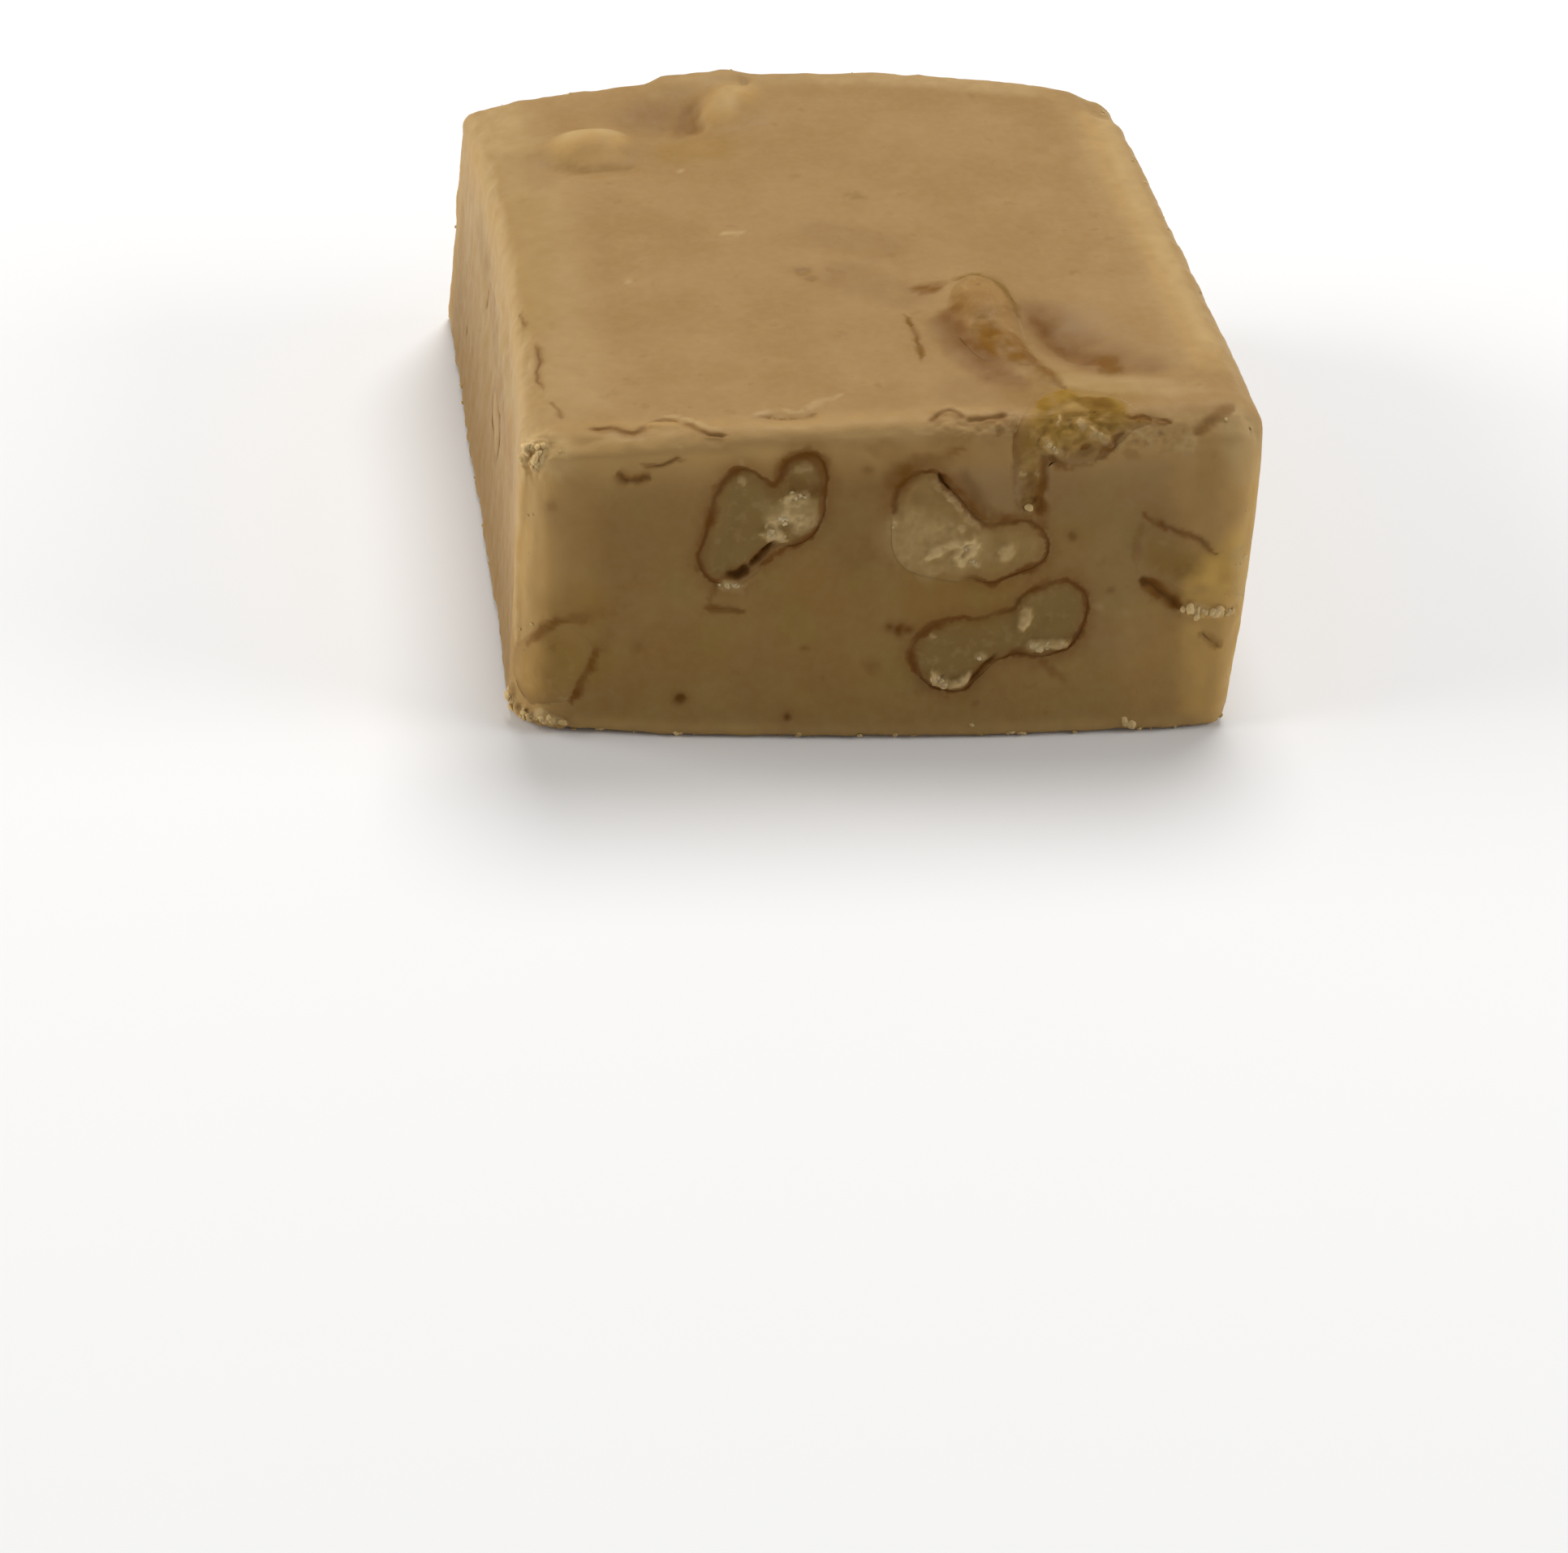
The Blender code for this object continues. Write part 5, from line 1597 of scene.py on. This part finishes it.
class Nodes:
    """Short ways to build a material's node tree."""

    def __init__(self, name):
        self.material = bpy.data.materials.new(name)
        self.material.use_nodes = True
        self.tree = self.material.node_tree
        self.shader = self.tree.nodes["Principled BSDF"]
        place = self.tree.nodes.new("ShaderNodeTexCoord")
        self.place = place.outputs["Object"]

    def link(self, value, socket):
        if isinstance(value, bpy.types.NodeSocket):
            self.tree.links.new(value, socket)
        else:
            socket.default_value = value

    def noise(self, size_mm, detail, stretch=(1.0, 1.0, 1.0), roughness=0.5):
        """Noise from 0 to 1 with lumps of that size."""
        mapping = self.tree.nodes.new("ShaderNodeMapping")
        mapping.inputs["Scale"].default_value = stretch
        self.tree.links.new(self.place, mapping.inputs["Vector"])
        made = self.tree.nodes.new("ShaderNodeTexNoise")
        made.inputs["Scale"].default_value = 1000.0 / size_mm
        made.inputs["Detail"].default_value = detail
        made.inputs["Roughness"].default_value = roughness
        self.tree.links.new(mapping.outputs["Vector"], made.inputs["Vector"])
        return made.outputs["Fac"]

    def value(self, name, output="Fac"):
        made = self.tree.nodes.new("ShaderNodeAttribute")
        made.attribute_name = name
        return made.outputs[output]

    def ramp(self, value, low, high, start=0.0, end=1.0):
        made = self.tree.nodes.new("ShaderNodeMapRange")
        made.interpolation_type = "SMOOTHSTEP"
        self.link(value, made.inputs["Value"])
        for name, number in (("From Min", low), ("From Max", high), ("To Min", start), ("To Max", end)):
            made.inputs[name].default_value = number
        return made.outputs["Result"]

    def patches(self, size_mm, detail, low, high, most=1.0, stretch=(1.0, 1.0, 1.0)):
        """Soft patches from 0 to most."""
        return self.ramp(self.noise(size_mm, detail, stretch), low, high, 0.0, most)

    def math(self, operation, a, b):
        made = self.tree.nodes.new("ShaderNodeMath")
        made.operation = operation
        self.link(a, made.inputs[0])
        self.link(b, made.inputs[1])
        return made.outputs["Value"]

    def mix(self, share, a, b):
        made = self.tree.nodes.new("ShaderNodeMix")
        made.data_type = "RGBA"
        self.link(share, made.inputs["Factor"])
        colours = [s for s in made.inputs if s.type == "RGBA"]
        for value, socket in ((a, colours[0]), (b, colours[1])):
            self.link((*value, 1.0) if isinstance(value, tuple) else value, socket)
        return [s for s in made.outputs if s.type == "RGBA"][0]

    def bump(self, height, strength, distance_mm):
        made = self.tree.nodes.new("ShaderNodeBump")
        made.inputs["Strength"].default_value = strength
        made.inputs["Distance"].default_value = distance_mm * MILLIMETRE
        self.link(height, made.inputs["Height"])
        return made.outputs["Normal"]

    def skin_line(self):
        """The brown skin of a walnut round its edge, with a softer stain on both sides of it."""
        wander = self.math("MULTIPLY", self.math("SUBTRACT", self.noise(0.9, 3.0, roughness=0.7), 0.5), 0.6)
        apart = self.math("ADD", self.value("rim"), wander)
        width = self.ramp(self.noise(2.0, 2.0), 0.35, 0.68, 0.65, 1.9)
        within = self.ramp(self.math("MULTIPLY", apart, width), -0.5, -0.08)
        without = self.ramp(self.math("MULTIPLY", apart, width), 0.06, 0.42, 1.0, 0.0)
        line = self.math("MULTIPLY", within, without)
        stain_in = self.ramp(apart, -1.0, -0.1, 0.0, SKIN_STAIN)
        stain = self.math("MULTIPLY", stain_in, self.ramp(apart, 0.0, 1.3, 1.0, 0.0))
        shown = self.math("SUBTRACT", 1.0, self.math("MULTIPLY", self.value("gap"), 0.97))
        strong = self.ramp(self.noise(1.7, 2.0), 0.32, 0.6, 0.65, 1.0)
        line = self.math("MULTIPLY", self.math("MULTIPLY", line, strong), shown)
        return self.math("MAXIMUM", line, self.math("MULTIPLY", stain, shown))


FUDGE = (0.345, 0.206, 0.078)
FUDGE_WARM = (0.318, 0.184, 0.064)
FUDGE_LIGHT = (0.385, 0.240, 0.096)
# The sides' colours: the cut fudge's own colour, painted darker than the top as shade.
CUT_SHADED = (0.298, 0.179, 0.054)
CUT_SHADED_WARM = (0.284, 0.158, 0.047)
CUT_SHADED_GREEN = (0.268, 0.174, 0.046)
# The left face's colours: its own paler, pinker colour, painted lighter still as light from the lamp on the
# left, and darker towards the foot.
LEFT_LIT = (0.440, 0.298, 0.132)
LEFT_LIT_WARM = (0.440, 0.278, 0.122)
LEFT_STREAK = (0.300, 0.190, 0.070)
LEFT_FOOT = (0.265, 0.155, 0.050)
LEFT_STRETCH = (1.0, 1.0, 0.22)
WALNUT_DEEP = (0.215, 0.115, 0.030)
# Tints by kind, in the order in which they are laid over each other.
TINTS = {
    "yellow": (0.275, 0.152, 0.019),
    "olive": (0.190, 0.100, 0.015),
    "orange": (0.172, 0.070, 0.004),
    "warm": (0.195, 0.094, 0.029),
    "rosy": (0.325, 0.205, 0.098),
    "amber": (0.470, 0.285, 0.095),
    "gold": (0.560, 0.340, 0.085),
    "light": (0.500, 0.350, 0.160),
    "pale": (0.640, 0.460, 0.215),
}
# The brown of walnut skin and stains, also the colour of painted shade in cracks, pits and hollows.
SKIN_STAIN_AND_SHADE_BROWN = (0.160, 0.060, 0.006)
SKIN_STAIN = 0.34
# The colour of painted shade in dark creases, slits and holes.
HOLE_SHADE_BROWN = (0.078, 0.031, 0.005)
# Less sheen on marks of these kinds.
DULL_KINDS = ("olive", "orange", "yellow", "dark")
DULL_ROUGHNESS = 0.97
# Specular level and glow under the skin.
FUDGE_GLOSS = (0.12, 0.12)
WALNUT_GLOSS = (0.14, 0.08)
CRUMB_GLOSS = (0.2, 0.15)
GLOW_REACH = (1.0, 0.55, 0.25)
GLOW_SCALE = 0.0012


def tinted(n, colour):
    """The drawn tints over a base colour, some of them painted light and shade, then the walnut skin's line,
    brown stains with the painted shade of cracks, pits and hollows, and the painted shade of dark holes.
    """
    for kind, tint in TINTS.items():
        colour = n.mix(n.value(kind), colour, tint)
    colour = n.mix(n.skin_line(), colour, SKIN_STAIN_AND_SHADE_BROWN)
    colour = n.mix(n.value("brown"), colour, SKIN_STAIN_AND_SHADE_BROWN)
    return n.mix(n.value("dark"), colour, HOLE_SHADE_BROWN)


def dulled(n, roughness):
    """Less sheen where brown, olive and yellow marks lie, so they keep their colour."""
    marks = n.value("brown")
    for kind in DULL_KINDS:
        marks = n.math("MAXIMUM", marks, n.value(kind))
    return n.math("MAXIMUM", roughness, n.ramp(marks, 0.2, 0.8, 0.0, DULL_ROUGHNESS))


def fudge_material():
    n = Nodes("fudge")
    top = n.mix(n.patches(6.0, 3.0, 0.36, 0.66), FUDGE_WARM, FUDGE)
    top = n.mix(n.patches(2.6, 3.0, 0.5, 0.75, 0.35), top, FUDGE_LIGHT)
    # The sides' colour, partly painted shade.
    cut = n.mix(n.patches(4.0, 3.0, 0.4, 0.65), CUT_SHADED_WARM, CUT_SHADED)
    cut = n.mix(n.patches(5.5, 2.0, 0.5, 0.7, 0.7), cut, CUT_SHADED_GREEN)
    # The left face, painted lighter as light from the left.
    left = n.mix(n.patches(2.6, 3.0, 0.4, 0.65), LEFT_LIT, LEFT_LIT_WARM)
    left = n.mix(n.patches(1.1, 3.0, 0.5, 0.72, 0.45, LEFT_STRETCH), left, LEFT_STREAK)
    left = n.mix(n.value("foot"), left, LEFT_FOOT)
    # Sides darker than the top: painted shade over the cut fudge's own colour.
    colour = n.mix(n.value("cut"), top, cut)
    colour = n.mix(n.value("left"), colour, left)
    colour = n.mix(n.patches(0.6, 2.0, 0.35, 0.7, 0.07), colour, TINTS["light"])
    colour = n.mix(n.patches(1.3, 2.0, 0.64, 0.78, 0.2), colour, SKIN_STAIN_AND_SHADE_BROWN)
    n.link(tinted(n, colour), n.shader.inputs["Base Color"])
    n.link(dulled(n, n.ramp(n.noise(1.1, 2.0), 0.3, 0.7, 0.52, 0.66)), n.shader.inputs["Roughness"])
    grain = n.math("ADD", n.noise(0.42, 3.0, roughness=0.6), n.math("MULTIPLY", n.noise(1.6, 2.0), 1.5))
    n.link(n.bump(grain, 0.22, 0.1), n.shader.inputs["Normal"])
    set_gloss(n.shader, *FUDGE_GLOSS)
    return n.material


def walnut_material():
    n = Nodes("walnut")
    colour = n.mix(n.patches(1.6, 3.0, 0.45, 0.7, 0.25), n.value("meat", "Color"), WALNUT_DEEP)
    colour = n.mix(n.patches(0.7, 2.0, 0.5, 0.75, 0.18), colour, TINTS["light"])
    blend = n.math("MULTIPLY", n.value("gap"), n.ramp(n.value("rim"), -0.7, 0.05, 0.0, 0.8))
    colour = n.mix(blend, colour, FUDGE_WARM)
    n.link(tinted(n, colour), n.shader.inputs["Base Color"])
    n.link(dulled(n, n.ramp(n.noise(0.8, 2.0), 0.3, 0.7, 0.48, 0.64)), n.shader.inputs["Roughness"])
    n.link(n.bump(n.noise(0.35, 3.0), 0.3, 0.1), n.shader.inputs["Normal"])
    set_gloss(n.shader, *WALNUT_GLOSS)
    return n.material


def crumb_material(name, colour, other):
    n = Nodes(name)
    n.link(n.mix(n.patches(0.8, 2.0, 0.35, 0.65), colour, other), n.shader.inputs["Base Color"])
    n.link(n.bump(n.noise(0.2, 2.0), 0.4, 0.05), n.shader.inputs["Normal"])
    n.shader.inputs["Roughness"].default_value = 0.6
    set_gloss(n.shader, *CRUMB_GLOSS)
    return n.material


def set_gloss(shader, specular, glow):
    shader.inputs["Specular IOR Level"].default_value = specular
    shader.inputs["Subsurface Weight"].default_value = glow
    shader.inputs["Subsurface Radius"].default_value = GLOW_REACH
    shader.inputs["Subsurface Scale"].default_value = GLOW_SCALE


# Floor, light and camera.

FLOOR_COLOUR = (0.89, 0.89, 0.89)
FLOOR_SIZE = 3.0
FLOOR_DROP = 0.00002
SKY = (1.0, 1.0, 1.0)
SKY_STRENGTH = 0.22
# Soft lights: name, compass angle from the front, height angle, distance and size in metres, watts, colour.
LIGHTS = (
    ("light_above", 165.0, 60.0, 0.7, 0.4, 3.4, (1.0, 1.0, 1.0)),
    ("light_left", -95.0, 22.0, 0.7, 0.5, 3.0, (1.0, 0.98, 0.95)),
    ("light_right", 80.0, 25.0, 0.7, 0.4, 1.8, (1.0, 0.98, 0.95)),
)
CAMERA_LENS = 82.14
SENSOR_WIDTH = 36.0
CAMERA_AZIMUTH, CAMERA_ELEVATION, CAMERA_ROLL = -9.54, 38.0, 4.5
# The block's own origin as the camera sees it, in mm to the right, up and toward it.
CAMERA_SHIFT = (2.10, 18.69, -244.06)


def camera_axes():
    azimuth, elevation, roll = (math.radians(a) for a in (CAMERA_AZIMUTH, CAMERA_ELEVATION, CAMERA_ROLL))
    back = np.array([
        math.sin(azimuth) * math.cos(elevation),
        -math.cos(azimuth) * math.cos(elevation),
        math.sin(elevation),
    ])
    level = np.cross([0.0, 0.0, 1.0], back)
    level /= np.linalg.norm(level)
    rise = np.cross(back, level)
    right = math.cos(roll) * level + math.sin(roll) * rise
    up = -math.sin(roll) * level + math.cos(roll) * rise
    return right, up, back


def add_camera():
    right, up, back = camera_axes()
    turn = np.array([right, up, back])
    place = (-turn.T @ np.array(CAMERA_SHIFT) - ORIGIN) * MILLIMETRE
    camera = bpy.data.objects.new("camera", bpy.data.cameras.new("camera"))
    bpy.context.scene.collection.objects.link(camera)
    camera.matrix_world = Matrix(
        [[right[k], up[k], back[k], place[k]] for k in range(3)] + [[0.0, 0.0, 0.0, 1.0]]
    )
    camera.data.lens = CAMERA_LENS
    camera.data.sensor_width = SENSOR_WIDTH
    camera.data.clip_start = 0.01
    camera.data.clip_end = 20.0
    bpy.context.scene.camera = camera


def add_lights():
    for name, azimuth, elevation, distance, size, watts, colour in LIGHTS:
        light = bpy.data.lights.new(name, "AREA")
        light.shape = "DISK"
        light.size = size
        light.energy = watts
        light.color = colour
        made = bpy.data.objects.new(name, light)
        bpy.context.scene.collection.objects.link(made)
        a, e = math.radians(azimuth), math.radians(elevation)
        toward = Vector((math.sin(a) * math.cos(e), -math.cos(a) * math.cos(e), math.sin(e)))
        made.location = toward * distance + Vector((0.0, 0.0, 0.01))
        made.rotation_euler = toward.to_track_quat("Z", "Y").to_euler()
    world = bpy.data.worlds.new("sky")
    world.use_nodes = True
    background = world.node_tree.nodes["Background"]
    background.inputs["Color"].default_value = (*SKY, 1.0)
    background.inputs["Strength"].default_value = SKY_STRENGTH
    bpy.context.scene.world = world


def add_floor():
    grid = bmesh.new()
    bmesh.ops.create_grid(grid, x_segments=1, y_segments=1, size=FLOOR_SIZE)
    mesh = bpy.data.meshes.new("floor")
    grid.to_mesh(mesh)
    grid.free()
    n = Nodes("floor")
    n.shader.inputs["Base Color"].default_value = (*FLOOR_COLOUR, 1.0)
    n.shader.inputs["Roughness"].default_value = 0.8
    n.shader.inputs["Specular IOR Level"].default_value = 0.1
    mesh.materials.append(n.material)
    floor = bpy.data.objects.new("floor", mesh)
    floor.location.z = -FLOOR_DROP
    bpy.context.scene.collection.objects.link(floor)


def main():
    bpy.context.scene.view_settings.view_transform = "Standard"
    fudge, surface = build_fudge(fudge_material())
    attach(fudge, "root")
    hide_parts("fudge_block")
    walnut = walnut_material()
    for name in LOBES:
        piece = build_walnut(name, surface, walnut)
        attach(piece, "root")
        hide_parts(name)
    spots = crumb_spots(surface)
    for kind, name, slot, colour, other in CRUMB_PIECES:
        mesh = crumb_mesh(spots[kind], CRUMB_SEED)
        crumbs = finished(name, mesh, crumb_material(name, colour, other))
        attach(crumbs, "root")
    add_floor()
    add_lights()
    add_camera()


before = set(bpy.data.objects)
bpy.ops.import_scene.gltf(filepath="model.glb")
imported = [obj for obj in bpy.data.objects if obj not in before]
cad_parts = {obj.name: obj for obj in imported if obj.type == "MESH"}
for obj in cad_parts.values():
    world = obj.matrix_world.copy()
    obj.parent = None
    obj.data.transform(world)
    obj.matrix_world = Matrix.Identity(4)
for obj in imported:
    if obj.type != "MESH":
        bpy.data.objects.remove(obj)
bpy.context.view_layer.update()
ORIGIN = origin_of_solids()
main()
